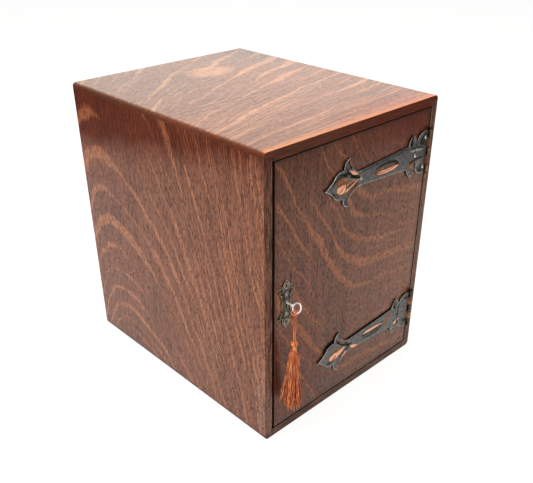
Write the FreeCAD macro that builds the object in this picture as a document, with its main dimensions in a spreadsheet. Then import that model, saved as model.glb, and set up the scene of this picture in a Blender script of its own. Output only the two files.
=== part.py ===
"""Oak tabletop cabinet with a flush door, copper strap hinges, a cupboard lock, its key and a key tassel.

Origin: centre of the underside. +X is the hinge side, -Y the front, +Z up. Millimetres.
"""
import FreeCAD, Part
import os
import Sketcher

# Every size that can be chosen by itself, in millimetres or degrees.
SIZES = {
    # case boards, lapped at the corners
    "case_width": 298.0,
    "case_depth": 365.0,
    "case_height": 380.0,
    "board": 12.0,
    "corner_lap": 6.5,
    "top_round": 5.0,
    "foot_round": 5.5,
    "edge_ease": 0.8,
    # back panel in its rebate, and the pins that hold it
    "back_thick": 6.0,
    "back_rebate": 6.0,
    "back_pin_inset": 3.0,
    "back_pin_margin": 40.0,
    "back_pin_head": 1.4,
    "back_pin_radius": 0.8,
    "back_pin_length": 15.0,
    "pin_sink": 0.6,
    # door and the blocks that it closes against
    "door_thick": 12.0,
    "lock_gap": 3.0,
    "hinge_gap": 1.0,
    "head_gap": 0.8,
    "foot_gap": 1.0,
    "stop_clear": 0.2,
    "stop_width": 10.0,
    "stop_depth": 12.0,
    "stop_length": 40.0,
    "stop_inset": 30.0,
    # shelf on two cleats
    "shelf_thick": 9.0,
    "shelf_level": 190.0,
    "shelf_setback": 30.0,
    "shelf_gap": 0.5,
    "cleat_width": 10.0,
    "cleat_height": 16.0,
    "cleat_setback": 12.0,
    "cleat_screw_margin": 45.0,
    # countersunk wood screws
    "screw_head": 2.9,
    "screw_head_depth": 1.7,
    "screw_radius": 1.3,
    "cleat_screw_length": 18.0,
    "short_screw_length": 8.0,
    "fastener_clear": 0.05,
    # strap hinges: barrel and pin
    "upper_hinge_drop": 68.5,
    "lower_hinge_rise": 73.0,
    "hinge_length": 58.0,
    "knuckle_gap": 0.4,
    "barrel_radius": 3.2,
    "barrel_clear": 0.35,
    "hinge_pin_radius": 1.3,
    "hinge_pin_clear": 0.06,
    "hinge_pin_head": 2.5,
    "hinge_pin_head_thick": 1.2,
    "leaf_thick": 1.4,
    "leaf_proud": 0.2,
    "leaf_depth": 24.0,
    "leaf_screw_set": 15.0,
    "leaf_screw_pitch": 19.0,
    # strap outline: steps of reach outwards from the pin, and half heights from the strap's middle
    "strap_thick": 2.6,
    "root_reach": 3.9,
    "root_half": 27.4,
    "lobe_step": 16.6,
    "lobe_half": 24.6,
    "lobe_bow": 0.6,
    "notch_step": 5.5,
    "notch_half": 14.2,
    "notch_bow": 1.3,
    "spike_step": 8.5,
    "spike_half": 27.8,
    "spike_bow_step": 2.2,
    "spike_bow_drop": 4.6,
    "bar_step": 9.0,
    "bar_half": 15.0,
    "bar_bow_step": 5.6,
    "bar_bow_drop": 5.3,
    "neck_step": 89.5,
    "neck_half": 9.4,
    "petal_step": 21.0,
    "petal_half": 30.0,
    "petal_bow_step": 6.4,
    "petal_bow_rise": 6.4,
    "bulb_step": 9.5,
    "bulb_half": 17.4,
    "bulb_bow_step": 1.7,
    "bulb_bow_drop": 4.4,
    "cheek_step": 14.5,
    "cheek_half": 13.4,
    "cheek_bow_drop": 0.4,
    "tip_step": 17.0,
    "tip_bow_step": 9.4,
    "tip_bow_half": 5.6,
    "tongue_lap": 0.5,
    # hollows beaten into the strap
    "dish_depth": 1.7,
    "eye_step": 40.8,
    "eye_half_length": 24.3,
    "eye_half_height": 7.2,
    "bulb_dish_step": 8.0,
    "bulb_dish_half_length": 13.5,
    "bulb_dish_half_height": 12.0,
    "petal_dish_step": 0.6,
    "petal_dish_level": 20.2,
    "petal_dish_half_length": 8.2,
    "petal_dish_half_width": 5.0,
    "spike_dish_step": 0.2,
    "spike_dish_level": 19.2,
    "spike_dish_half_length": 6.6,
    "spike_dish_half_width": 4.6,
    # domed nails through the strap
    "nail_head": 2.4,
    "nail_dome": 1.4,
    "nail_radius": 1.0,
    "nail_length": 9.0,
    "root_nail_step": 2.0,
    "corner_nail_step": 5.1,
    "corner_nail_level": 19.5,
    # escutcheon: half widths, and steps of level outwards from its middle
    "escutcheon_thick": 1.4,
    "escutcheon_drop": 2.0,
    "waist_half": 7.2,
    "waist_level": 7.5,
    "waist_bow": 1.1,
    "wing_half": 13.6,
    "wing_step": 10.1,
    "finial_neck_half": 5.4,
    "finial_neck_step": 1.6,
    "finial_half": 6.2,
    "finial_step": 5.3,
    "finial_bow_half": 3.8,
    "finial_bow_step": 3.6,
    "finial_tip_step": 8.0,
    "finial_hole": 1.7,
    "escutcheon_pin_step": 5.1,
    "escutcheon_pin_head": 1.6,
    "escutcheon_pin_dome": 0.9,
    "escutcheon_pin_radius": 0.7,
    "escutcheon_pin_length": 7.0,
    # keyhole
    "keyhole_radius": 2.3,
    "keyhole_slot": 2.8,
    "keyhole_drop": 9.0,
    # lock on the inside of the door
    "key_backset": 18.0,
    "key_level": 193.0,
    "lock_plate_thick": 1.4,
    "lock_plate_width": 42.0,
    "lock_plate_rise": 27.0,
    "lock_plate_fall": 20.0,
    "lock_screw_inset": 4.0,
    "lock_case_width": 32.0,
    "lock_case_rise": 19.0,
    "lock_case_fall": 12.0,
    "lock_case_depth": 8.4,
    "lock_wall": 1.2,
    "bolt_thick": 3.2,
    "bolt_lift": 4.2,
    "bolt_height": 9.0,
    "bolt_length": 28.0,
    "bolt_throw": 7.0,
    "bolt_clear": 0.2,
    "bolt_stand": 1.6,
    "talon_start": 0.1,
    "talon_width": 5.4,
    "talon_depth": 4.0,
    "stud_radius": 1.2,
    "stud_front": 12.0,
    "spring_length": 16.0,
    "spring_rise": 3.6,
    "spring_thick": 0.7,
    "spring_width": 2.4,
    # strike plate and the mortise behind it
    "strike_thick": 1.2,
    "strike_width": 13.0,
    "strike_margin": 8.0,
    "mortise_depth": 6.5,
    # key
    "key_tilt": 30.0,
    "key_stem": 1.4,
    "key_run_clear": 0.08,
    "bow_stand": 18.0,
    "bow_radius": 5.7,
    "bow_wire": 1.0,
    "collar_radius": 2.0,
    "collar_length": 1.5,
    "bit_reach": 7.4,
    "bit_thick": 2.1,
    "bit_width": 2.8,
    # tassel
    "cord_radius": 0.9,
    "hitch_bore": 1.4,
    "cord_gap": 0.35,
    "strand_gap": 0.1,
    "cord_length": 36.5,
    "head_length": 15.0,
    "head_bead": 4.2,
    "head_waist": 2.5,
    "skirt_length": 82.0,
    "skirt_neck": 3.4,
    "skirt_shoulder": 8.2,
    "skirt_foot": 12.0,
}


class Size:
    """A number together with the sheet formula that gives it."""

    def __init__(self, value, text):
        self.value = value
        self.text = text

    def join(self, other, sign, value):
        return Size(value, "(" + self.text + " " + sign + " " + other.text + ")")

    def __add__(self, other):
        other = as_size(other)
        return self.join(other, "+", self.value + other.value)

    def __sub__(self, other):
        other = as_size(other)
        return self.join(other, "-", self.value - other.value)

    def __mul__(self, factor):
        factor = as_size(factor)
        return self.join(factor, "*", self.value * factor.value)

    def __truediv__(self, divisor):
        divisor = as_size(divisor)
        return self.join(divisor, "/", self.value / divisor.value)

    def __neg__(self):
        return Size(-self.value, "(-1 * " + self.text + ")")


def as_size(number):
    if isinstance(number, Size):
        return number
    return Size(float(number), repr(float(number)))


doc = FreeCAD.newDocument("TabletopCabinet")
sheet = doc.addObject("Spreadsheet::Sheet", "Sizes")
for row, (alias, number) in enumerate(SIZES.items(), start=1):
    sheet.set("A" + str(row), alias)
    sheet.set("B" + str(row), repr(number))
    sheet.setAlias("B" + str(row), alias)
doc.recompute()

S = {alias: Size(number, "Sizes." + alias) for alias, number in SIZES.items()}
ZERO = as_size(0.0)
PARTS = {}

# Turns that point a shape's own +Z along each axis.
TURNS = {
    "+x": FreeCAD.Rotation(FreeCAD.Vector(0, 1, 0), 90),
    "-x": FreeCAD.Rotation(FreeCAD.Vector(0, 1, 0), -90),
    "+y": FreeCAD.Rotation(FreeCAD.Vector(1, 0, 0), -90),
    "-y": FreeCAD.Rotation(FreeCAD.Vector(1, 0, 0), 90),
    "+z": FreeCAD.Rotation(),
}


def bind(thing, **sizes):
    for name, size in sizes.items():
        thing.setExpression(name, as_size(size).text)


def put(thing, x, y, z, turn=None):
    """Place a thing at a bound point, turned by a fixed rotation."""
    x, y, z = as_size(x), as_size(y), as_size(z)
    spot = FreeCAD.Vector(x.value, y.value, z.value)
    thing.Placement = FreeCAD.Placement(spot, turn or FreeCAD.Rotation())
    thing.setExpression("Placement.Base.x", x.text)
    thing.setExpression("Placement.Base.y", y.text)
    thing.setExpression("Placement.Base.z", z.text)
    return thing


def block(x, y, z):
    """Box between two bounds on each axis."""
    solid = doc.addObject("Part::Box", "Block")
    bind(solid, Length=as_size(x[1]) - x[0], Width=as_size(y[1]) - y[0], Height=as_size(z[1]) - z[0])
    return put(solid, x[0], y[0], z[0])


def rod(axis, at, radius, length):
    """Cylinder that starts at a point and runs along an axis."""
    solid = doc.addObject("Part::Cylinder", "Rod")
    bind(solid, Radius=radius, Height=length)
    return put(solid, *at, turn=TURNS[axis])


def join(*solids):
    whole = doc.addObject("Part::MultiFuse", "Join")
    whole.Shapes = list(solids)
    return whole


def group(*solids):
    whole = doc.addObject("Part::Compound", "Group")
    whole.Links = list(solids)
    return whole


def cut(base, *tools):
    piece = doc.addObject("Part::Cut", "Piece")
    piece.Base = base
    piece.Tool = tools[0] if len(tools) == 1 else group(*tools)
    return piece


def part(label, thing):
    """Register a sub-part under the name of its file."""
    thing.Label = label
    PARTS[label] = thing
    return thing


def new_body(name):
    return doc.addObject("PartDesign::Body", name)


def plane(body, role):
    return next(item for item in body.Origin.OriginFeatures if item.Role == role)


def outline(body, role, points):
    """Closed sketch through bound points; a point given as (x, y, via_x, via_y) is reached by an arc."""
    sketch = body.newObject("Sketcher::SketchObject", "Outline")
    sketch.AttachmentSupport = (plane(body, role), [""])
    sketch.MapMode = "FlatFace"
    points = [tuple(as_size(number) for number in point) for point in points]
    ends = []
    for start, stop in zip(points, points[1:] + points[:1]):
        a = FreeCAD.Vector(start[0].value, start[1].value, 0)
        b = FreeCAD.Vector(stop[0].value, stop[1].value, 0)
        if len(stop) == 2:
            edge = sketch.addGeometry(Part.LineSegment(a, b), False)
            ends.append((edge, 1, 2))
            continue
        via = FreeCAD.Vector(stop[2].value, stop[3].value, 0)
        # a sketched arc always runs counter-clockwise
        clockwise = (via - a).cross(b - via).z < 0
        arc = Part.Arc(b, via, a) if clockwise else Part.Arc(a, via, b)
        edge = sketch.addGeometry(arc, False)
        ends.append((edge, 2, 1) if clockwise else (edge, 1, 2))
        mark = sketch.addGeometry(Part.Point(via), True)
        pin_point(sketch, mark, 1, stop[2], stop[3])
        sketch.addConstraint(Sketcher.Constraint("PointOnObject", mark, 1, edge))
    for before, after, point in zip(ends[-1:] + ends[:-1], ends, points):
        sketch.addConstraint(Sketcher.Constraint("Coincident", before[0], before[2], after[0], after[1]))
        pin_point(sketch, after[0], after[1], point[0], point[1])
    return sketch


def pin_point(sketch, geometry, end, x, y):
    """Hold a sketch point at a bound distance from the sketch's origin."""
    for kind, size in (("DistanceX", x), ("DistanceY", y)):
        held = sketch.addConstraint(Sketcher.Constraint(kind, -1, 1, geometry, end, size.value))
        sketch.setExpression("Constraints[" + str(held) + "]", size.text)


def pad(body, sketch, length):
    feature = body.newObject("PartDesign::Pad", "Pad")
    feature.Profile = sketch
    bind(feature, Length=length)
    return feature


def revolve(body, sketch):
    """Turn a half profile about the sketch's upright axis."""
    feature = body.newObject("PartDesign::Revolution", "Revolution")
    feature.Profile = sketch
    feature.ReferenceAxis = (sketch, ["V_Axis"])
    feature.Angle = 360
    return feature


def shape(body, kind, at, turn=None, **sizes):
    """Additive or subtractive primitive inside a body."""
    feature = body.newObject("PartDesign::" + kind, kind)
    bind(feature, **sizes)
    return put(feature, *at, turn=turn)


def ease(body, size, chosen):
    """Round the edges of the body that a test picks."""
    doc.recompute()
    base = body.Tip
    names = ["Edge" + str(i) for i, edge in enumerate(base.Shape.Edges, start=1) if chosen(edge)]
    feature = body.newObject("PartDesign::Fillet", "Eased")
    feature.Base = (base, names)
    bind(feature, Radius=size)
    return feature


def flat_at(edge, axis, level):
    """True where an edge lies wholly in the plane axis = level."""
    box = edge.BoundBox
    low, high = {"x": (box.XMin, box.XMax), "y": (box.YMin, box.YMax), "z": (box.ZMin, box.ZMax)}[axis]
    return abs(low - level) < 1e-4 and abs(high - level) < 1e-4


def screw(axis, at, length, clear=0.0):
    """Countersunk screw whose head is flush with the point it starts at; with a clearance, its hole."""
    clear = as_size(clear)
    head = doc.addObject("Part::Cone", "Head")
    bind(head, Radius1=S["screw_head"] + clear, Radius2=S["screw_radius"] + clear,
         Height=S["screw_head_depth"])
    put(head, *at, turn=TURNS[axis])
    shank = rod(axis, at, S["screw_radius"] + clear, as_size(length) + clear)
    return join(head, shank)


def dome_nail(at, head, dome, radius, length):
    """Nail driven along +Y, with a low domed head standing out towards -Y."""
    cap = doc.addObject("Part::Ellipsoid", "Dome")
    bind(cap, Radius1=dome, Radius2=head, Radius3=head)
    cap.Angle1 = 0
    put(cap, *at, turn=TURNS["-y"])
    return join(cap, rod("+y", at, radius, length))


# Planes that several pieces share.
left, right = -S["case_width"] / 2, S["case_width"] / 2
front, rear = -S["case_depth"] / 2, S["case_depth"] / 2
high = S["case_height"]
board = S["board"]
inner_left, inner_right = left + board, right - board
back_face = rear - S["back_thick"]
door_left, door_right = inner_left + S["lock_gap"], inner_right - S["hinge_gap"]
door_low, door_high = board + S["foot_gap"], high - board - S["head_gap"]
door_back = front + S["door_thick"]
clear = S["fastener_clear"]

# Key axis, hinge pin axis and the two hinge levels.
key_x, key_z = door_left + S["key_backset"], S["key_level"]
pin_x = inner_right - S["hinge_gap"] / 2
pin_stand = S["barrel_radius"] + S["barrel_clear"]
pin_y = front - pin_stand
hinge_levels = {"upper": high - S["upper_hinge_drop"], "lower": S["lower_hinge_rise"]}


# Back panel pins: down both sides, and along the head and the foot.
panel_left, panel_right = inner_left - S["back_rebate"], inner_right + S["back_rebate"]
panel_low, panel_high = board - S["back_rebate"], high - board + S["back_rebate"]


def spread(first, last, count):
    return [first + (last - first) * (i / (count - 1)) for i in range(count)]


side_levels = spread(panel_low + S["back_pin_margin"], panel_high - S["back_pin_margin"], 4)
rail_places = spread(panel_left + S["back_pin_margin"], panel_right - S["back_pin_margin"], 3)
pin_spots = {
    "left": [(panel_left + S["back_pin_inset"], z) for z in side_levels],
    "right": [(panel_right - S["back_pin_inset"], z) for z in side_levels],
    "foot": [(x, panel_low + S["back_pin_inset"]) for x in rail_places],
    "head": [(x, panel_high - S["back_pin_inset"]) for x in rail_places],
}


def back_pin(spot, gap=0.0):
    """Panel pin driven from the back, its flat head sunk a little; with a gap, its hole."""
    gap = as_size(gap)
    face = rear - S["pin_sink"] + gap
    head = rod("-y", (spot[0], face, spot[1]), S["back_pin_head"] + gap, S["pin_sink"] + gap * 2)
    shank = rod("-y", (spot[0], face, spot[1]), S["back_pin_radius"] + gap, S["back_pin_length"] + gap * 2)
    return join(head, shank)


def pin_mouth(spot):
    """The dent above a sunk pin head."""
    return rod("+y", (spot[0], rear - S["pin_sink"], spot[1]), S["back_pin_head"] + clear, S["pin_sink"])


all_spots = [spot for spots in pin_spots.values() for spot in spots]
part("back_pins", group(*[back_pin(spot) for spot in all_spots]))
panel = block((panel_left, panel_right), (back_face, rear), (panel_low, panel_high))
panel_holes = [back_pin(spot, clear) for spot in all_spots] + [pin_mouth(spot) for spot in all_spots]
part("back_panel", cut(panel, *panel_holes))


def back_rebate(x, z):
    return block(x, (back_face, rear), z)


# Top and bottom boards: each has a lip at both ends that laps over the side boards.
def lapped_board(label, outer, inward, round_size, pins):
    """Board across the case whose outer face is at one level; inward is -1 for the top, +1 for the bottom."""
    body = new_body("LappedBoard")
    lap = outer + S["corner_lap"] * inward
    inner = outer + board * inward
    bend = round_size * 0.29289322
    start = outer + round_size * inward
    middle = outer + bend * inward
    profile = outline(body, "XZ_Plane", [
        (left, lap),
        (left, start),
        (left + round_size, outer, left + bend, middle),
        (right - round_size, outer),
        (right, start, right - bend, middle),
        (right, lap),
        (inner_right, lap),
        (inner_right, inner),
        (inner_left, inner),
        (inner_left, lap),
    ])
    pad(body, profile, S["case_depth"])
    put(body, ZERO, rear, ZERO)
    back = -S["case_depth"].value

    def front_edge(edge):
        return flat_at(edge, "y", back) and not flat_at(edge, "z", lap.value) \
            and not flat_at(edge, "x", inner_left.value) and not flat_at(edge, "x", inner_right.value)

    ease(body, S["edge_ease"], front_edge)
    rebate_z = (inner, inner - S["back_rebate"] * inward)
    if inward < 0:
        rebate = back_rebate((panel_left, panel_right), rebate_z)
    else:
        rebate = back_rebate((panel_left, panel_right), rebate_z[::-1])
    return part(label, cut(body, rebate, *[back_pin(spot, clear) for spot in pins]))


lapped_board("top_board", high, -1.0, S["top_round"], pin_spots["head"])
lapped_board("bottom_board", ZERO, 1.0, S["foot_round"], pin_spots["foot"])


def eased_side(outer, inner):
    """Side board between the lips, with its front edges eased."""
    body = new_body("SideBoard")
    low, tall = S["corner_lap"], high - S["corner_lap"]
    sketch = outline(body, "XZ_Plane", [(outer, low), (inner, low), (inner, tall), (outer, tall)])
    pad(body, sketch, S["case_depth"])
    put(body, ZERO, rear, ZERO)

    def upright_front(edge):
        return flat_at(edge, "y", -S["case_depth"].value) and edge.BoundBox.ZLength > 1.0

    ease(body, S["edge_ease"], upright_front)
    return body


# Shelf cleats, their screws, and the shelf.
shelf_low = S["shelf_level"] - S["shelf_thick"]
shelf_front = door_back + S["shelf_setback"]
cleat_front = shelf_front + S["cleat_setback"]
cleat_low = shelf_low - S["cleat_height"]
cleat_middle = (shelf_low + cleat_low) / 2
cleat_screw_places = [cleat_front + S["cleat_screw_margin"], back_face - S["cleat_screw_margin"]]
left_cleat_inner, right_cleat_inner = inner_left + S["cleat_width"], inner_right - S["cleat_width"]
left_cleat_spots = [(left_cleat_inner, y, cleat_middle) for y in cleat_screw_places]
right_cleat_spots = [(right_cleat_inner, y, cleat_middle) for y in cleat_screw_places]
cleat_screw = S["cleat_screw_length"]
left_cleat_holes = [screw("-x", at, cleat_screw, clear) for at in left_cleat_spots]
right_cleat_holes = [screw("+x", at, cleat_screw, clear) for at in right_cleat_spots]
left_cleat = block((inner_left, left_cleat_inner), (cleat_front, back_face), (cleat_low, shelf_low))
right_cleat = block((right_cleat_inner, inner_right), (cleat_front, back_face), (cleat_low, shelf_low))
part("shelf_cleats", group(cut(left_cleat, *left_cleat_holes), cut(right_cleat, *right_cleat_holes)))
part("cleat_screws", group(
    *[screw("-x", at, cleat_screw) for at in left_cleat_spots],
    *[screw("+x", at, cleat_screw) for at in right_cleat_spots],
))
part("shelf", block(
    (inner_left + S["shelf_gap"], inner_right - S["shelf_gap"]),
    (shelf_front, back_face),
    (shelf_low, S["shelf_level"]),
))

# Door stops on the lock side, one near the head and one near the foot.
stop_x = (inner_left, inner_left + S["stop_width"])
stop_y = (door_back + S["stop_clear"], door_back + S["stop_clear"] + S["stop_depth"])
foot_stop = board + S["stop_inset"]
head_stop = high - board - S["stop_inset"]
part("door_stops", group(
    block(stop_x, stop_y, (foot_stop, foot_stop + S["stop_length"])),
    block(stop_x, stop_y, (head_stop - S["stop_length"], head_stop)),
))

# Lock: plate against the door, open-backed case over it, bolt sliding between them above the key.
plate_right = door_left + S["lock_plate_width"]
plate_low, plate_high = key_z - S["lock_plate_fall"], key_z + S["lock_plate_rise"]
plate_face = door_back + S["lock_plate_thick"]
case_right = door_left + S["lock_case_width"]
case_low, case_high = key_z - S["lock_case_fall"], key_z + S["lock_case_rise"]
case_face = plate_face + S["lock_case_depth"]
wall = S["lock_wall"]
bolt_y = (plate_face + S["bolt_stand"], plate_face + S["bolt_stand"] + S["bolt_thick"])
bolt_z = (key_z + S["bolt_lift"], key_z + S["bolt_lift"] + S["bolt_height"])


def keyhole(y):
    """Round hole with a slot below it, through a span of depth."""
    deep = as_size(y[1]) - y[0]
    half = S["keyhole_slot"] / 2
    slot = block((key_x - half, key_x + half), y, (key_z - S["keyhole_drop"], key_z))
    return join(rod("+y", (key_x, y[0], key_z), S["keyhole_radius"], deep), slot)


inset = S["lock_screw_inset"]
lock_spots = [
    (x, plate_face, z)
    for x in (door_left + inset, plate_right - inset)
    for z in (plate_low + inset, plate_high - inset)
]
lock_screw = S["short_screw_length"]
lock_holes = [screw("-y", at, lock_screw, clear) for at in lock_spots]
part("lock_screws", group(*[screw("-y", at, lock_screw) for at in lock_spots]))
stud_at = (key_x - S["stud_front"], plate_face, (bolt_z[0] + bolt_z[1]) / 2)
lock_plate = block((door_left, plate_right), (door_back, plate_face), (plate_low, plate_high))
part("lock_plate", cut(lock_plate, keyhole((door_back, plate_face)), *lock_holes))
part("lock_stud", rod("+y", stud_at, S["stud_radius"], S["lock_case_depth"] - wall))
lock_shell = block((door_left, case_right), (plate_face, case_face), (case_low, case_high))
lock_hollow = block(
    (door_left + wall, case_right - wall),
    (plate_face, case_face - wall),
    (case_low + wall, case_high - wall),
)
bolt_way = block(
    (door_left, door_left + wall),
    (bolt_y[0] - S["bolt_clear"], bolt_y[1] + S["bolt_clear"]),
    (bolt_z[0] - S["bolt_clear"], bolt_z[1] + S["bolt_clear"]),
)
key_bush = rod("+y", (key_x, case_face - wall, key_z), S["key_stem"] + S["key_run_clear"], wall)
part("lock_case", cut(lock_shell, lock_hollow, bolt_way, key_bush))

# Bolt with the notch that the bit works in and the slot that rides on the stud.
bolt_bar = block((door_left, door_left + S["bolt_length"]), bolt_y, bolt_z)
talon = block(
    (key_x + S["talon_start"], key_x + S["talon_start"] + S["talon_width"]),
    bolt_y, (bolt_z[0], bolt_z[0] + S["talon_depth"]))
slot_radius = S["stud_radius"] + S["bolt_clear"]
slot_end = (stud_at[0] + S["bolt_throw"], bolt_y[0], stud_at[2])
stud_slot = join(
    rod("+y", (stud_at[0], bolt_y[0], stud_at[2]), slot_radius, S["bolt_thick"]),
    block((stud_at[0], slot_end[0]), bolt_y, (stud_at[2] - slot_radius, stud_at[2] + slot_radius)),
    rod("+y", slot_end, slot_radius, S["bolt_thick"]),
)
part("lock_bolt", cut(bolt_bar, talon, stud_slot))

# Bowed leaf spring on top of the bolt.
spring = new_body("BoltSpring")
span, rise, leaf = S["spring_length"], S["spring_rise"], S["spring_thick"]
pad(spring, outline(spring, "XZ_Plane", [
    (ZERO, ZERO),
    (span, ZERO, span / 2, rise),
    (span - leaf, ZERO),
    (leaf, ZERO, span / 2, rise - leaf),
]), S["spring_width"])
spring_y = (bolt_y[0] + bolt_y[1] + S["spring_width"]) / 2
put(spring, door_left + wall * 2 + S["bolt_throw"], spring_y, bolt_z[1])
part("bolt_spring", spring)

# Strike plate let into the left side, with a mortise behind it for the bolt.
strike_y_middle = (bolt_y[0] + bolt_y[1]) / 2
strike_y = (strike_y_middle - S["strike_width"] / 2, strike_y_middle + S["strike_width"] / 2)
strike_z = (bolt_z[0] - S["strike_margin"], bolt_z[1] + S["strike_margin"])
strike_x = (inner_left - S["strike_thick"], inner_left)
mouth_y = (bolt_y[0] - S["bolt_clear"], bolt_y[1] + S["bolt_clear"])
mouth_z = (bolt_z[0] - S["bolt_clear"], bolt_z[1] + S["bolt_clear"])
strike_spots = [(inner_left, strike_y_middle, level) for level in (
    strike_z[0] + S["strike_margin"] / 2, strike_z[1] - S["strike_margin"] / 2)]
strike_holes = [screw("-x", at, lock_screw, clear) for at in strike_spots]
part("strike_screws", group(*[screw("-x", at, lock_screw) for at in strike_spots]))
strike_blank = block(strike_x, strike_y, strike_z)
part("strike_plate", cut(strike_blank, block(strike_x, mouth_y, mouth_z), *strike_holes))
mortise = block((inner_left - S["mortise_depth"], inner_left), mouth_y, mouth_z)

# Left side.
left_rebate = back_rebate((panel_left, inner_left), (S["corner_lap"], high - S["corner_lap"]))
part("left_side", cut(
    eased_side(left, inner_left), left_rebate, mortise, block(strike_x, strike_y, strike_z),
    *strike_holes, *left_cleat_holes, *[back_pin(spot, clear) for spot in pin_spots["left"]],
))

# Hinges. Five knuckles: the frame leaf has the first, third and fifth, the strap the other two.
knuckles = 5
pitch = S["hinge_length"] / knuckles
bore = S["hinge_pin_radius"] + S["hinge_pin_clear"]
knuckle_length = pitch - S["knuckle_gap"]


def knuckle_low(index):
    return S["hinge_length"] * (index / knuckles - 0.5) + S["knuckle_gap"] / 2


leaf_x = (inner_right - S["leaf_proud"], inner_right - S["leaf_proud"] + S["leaf_thick"])
side_cuts = []
frame_screws = []
half_hinge = S["hinge_length"] / 2


def frame_leaf(label, level):
    """Plain leaf let into the right side, wrapped round the pin at alternate knuckles."""
    leaf = [block(leaf_x, (front, front + S["leaf_depth"]), (level - half_hinge, level + half_hinge))]
    for index in range(0, knuckles, 2):
        low = level + knuckle_low(index)
        leaf.append(rod("+z", (pin_x, pin_y, low), S["barrel_radius"], knuckle_length))
        leaf.append(block(leaf_x, (pin_y, front), (low, low + knuckle_length)))
    spots = [
        (leaf_x[0], front + S["leaf_screw_set"], level + S["leaf_screw_pitch"] * step) for step in (-1, 0, 1)
    ]
    holes = [screw("+x", at, lock_screw, clear) for at in spots]
    pin_way = rod("+z", (pin_x, pin_y, level - half_hinge), bore, S["hinge_length"])
    frame_screws.extend(screw("+x", at, lock_screw) for at in spots)
    side_cuts.extend(holes)
    side_cuts.append(block(
        (inner_right, leaf_x[1]), (front, front + S["leaf_depth"]), (level - half_hinge, level + half_hinge)))
    part(label, cut(join(*leaf), pin_way, *holes))


def hinge_pin(label, level):
    """Pin with a small button at each end of the barrel."""
    button = S["hinge_pin_head_thick"]
    part(label, join(
        rod("+z", (pin_x, pin_y, level - half_hinge), S["hinge_pin_radius"], S["hinge_length"]),
        rod("+z", (pin_x, pin_y, level + half_hinge), S["hinge_pin_head"], button),
        rod("+z", (pin_x, pin_y, level - half_hinge - button), S["hinge_pin_head"], button),
    ))


# Stations along the strap, as reach from the pin.
lobe_at = S["root_reach"] + S["lobe_step"]
notch_at = lobe_at + S["notch_step"]
spike_at = notch_at + S["spike_step"]
bar_at = spike_at + S["bar_step"]
neck_at = bar_at + S["neck_step"]
petal_at = neck_at + S["petal_step"]
bulb_at = petal_at + S["bulb_step"]
cheek_at = bulb_at + S["cheek_step"]
tip_at = cheek_at + S["tip_step"]


def strap_half():
    """Upper half of the strap's outline from the pin outwards, drawn with +X to the hinge side."""
    def bow(reach, half, via_reach, via_half):
        return (-reach, half, -via_reach, via_half)

    return [
        (-S["root_reach"], S["root_half"]),
        bow(lobe_at, S["lobe_half"], (S["root_reach"] + lobe_at) / 2, S["root_half"] + S["lobe_bow"]),
        bow(notch_at, S["notch_half"], notch_at - S["notch_bow"], (S["lobe_half"] + S["notch_half"]) / 2),
        bow(spike_at, S["spike_half"], notch_at + S["spike_bow_step"], S["spike_half"] - S["spike_bow_drop"]),
        bow(bar_at, S["bar_half"], spike_at + S["bar_bow_step"], S["spike_half"] - S["bar_bow_drop"]),
        (-neck_at, S["neck_half"]),
        bow(petal_at, S["petal_half"], petal_at - S["petal_bow_step"], S["neck_half"] + S["petal_bow_rise"]),
        bow(bulb_at, S["bulb_half"], bulb_at - S["bulb_bow_step"], S["petal_half"] - S["bulb_bow_drop"]),
        bow(cheek_at, S["cheek_half"], (bulb_at + cheek_at) / 2, S["bulb_half"] - S["cheek_bow_drop"]),
        bow(tip_at, ZERO, tip_at - S["tip_bow_step"], S["tip_bow_half"]),
    ]


def mirrored(half):
    """Close a half outline by its mirror image below the X axis; its last point is on that axis."""
    whole = list(half)
    for near, far in zip(half[-2::-1], half[:0:-1]):
        whole.append((near[0], -near[1]) + ((far[2], -far[3]) if len(far) == 4 else ()))
    return whole


def hollow(body, x, z, half_width, half_height):
    """Oval dish beaten into the strap's face."""
    shape(body, "SubtractiveEllipsoid", (x, -S["strap_thick"], z), turn=TURNS["+y"],
          Radius1=S["dish_depth"], Radius2=half_width, Radius3=half_height)


def strap(label, level):
    """Ornamental strap on the door's face: outline, beaten hollows, two knuckles and nail holes."""
    body = new_body("Strap")
    face = -S["strap_thick"]
    pad(body, outline(body, "XZ_Plane", mirrored(strap_half())), S["strap_thick"])
    hollow(body, -bar_at - S["eye_step"], ZERO, S["eye_half_length"], S["eye_half_height"])
    hollow(body, -bulb_at - S["bulb_dish_step"], ZERO,
           S["bulb_dish_half_length"], S["bulb_dish_half_height"])
    for side in (1.0, -1.0):
        hollow(body, -petal_at - S["petal_dish_step"], S["petal_dish_level"] * side,
               S["petal_dish_half_width"], S["petal_dish_half_length"])
        hollow(body, -spike_at - S["spike_dish_step"], S["spike_dish_level"] * side,
               S["spike_dish_half_width"], S["spike_dish_half_length"])
    tongue = S["root_reach"] + S["tongue_lap"]
    for index in range(1, knuckles, 2):
        low = knuckle_low(index)
        shape(body, "AdditiveBox", (-tongue, face, low),
              Length=tongue, Width=S["strap_thick"] - S["barrel_clear"], Height=knuckle_length)
        shape(body, "AdditiveCylinder", (ZERO, -pin_stand, low),
              Radius=S["barrel_radius"], Height=knuckle_length)
    shape(body, "SubtractiveCylinder", (ZERO, -pin_stand, -half_hinge), Radius=bore, Height=S["hinge_length"])
    for x, z in nail_spots():
        shape(body, "SubtractiveCylinder", (x, face, z), turn=TURNS["+y"],
              Radius=S["nail_radius"] + clear, Height=S["strap_thick"])
    put(body, pin_x, front, level)
    return part(label, body)


def nail_spots():
    """Nail places from the pin: neck, root and the two root corners."""
    corner = S["root_reach"] + S["corner_nail_step"]
    return [
        (-neck_at, ZERO),
        (-notch_at - S["root_nail_step"], ZERO),
        (-corner, S["corner_nail_level"]),
        (-corner, -S["corner_nail_level"]),
    ]


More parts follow.
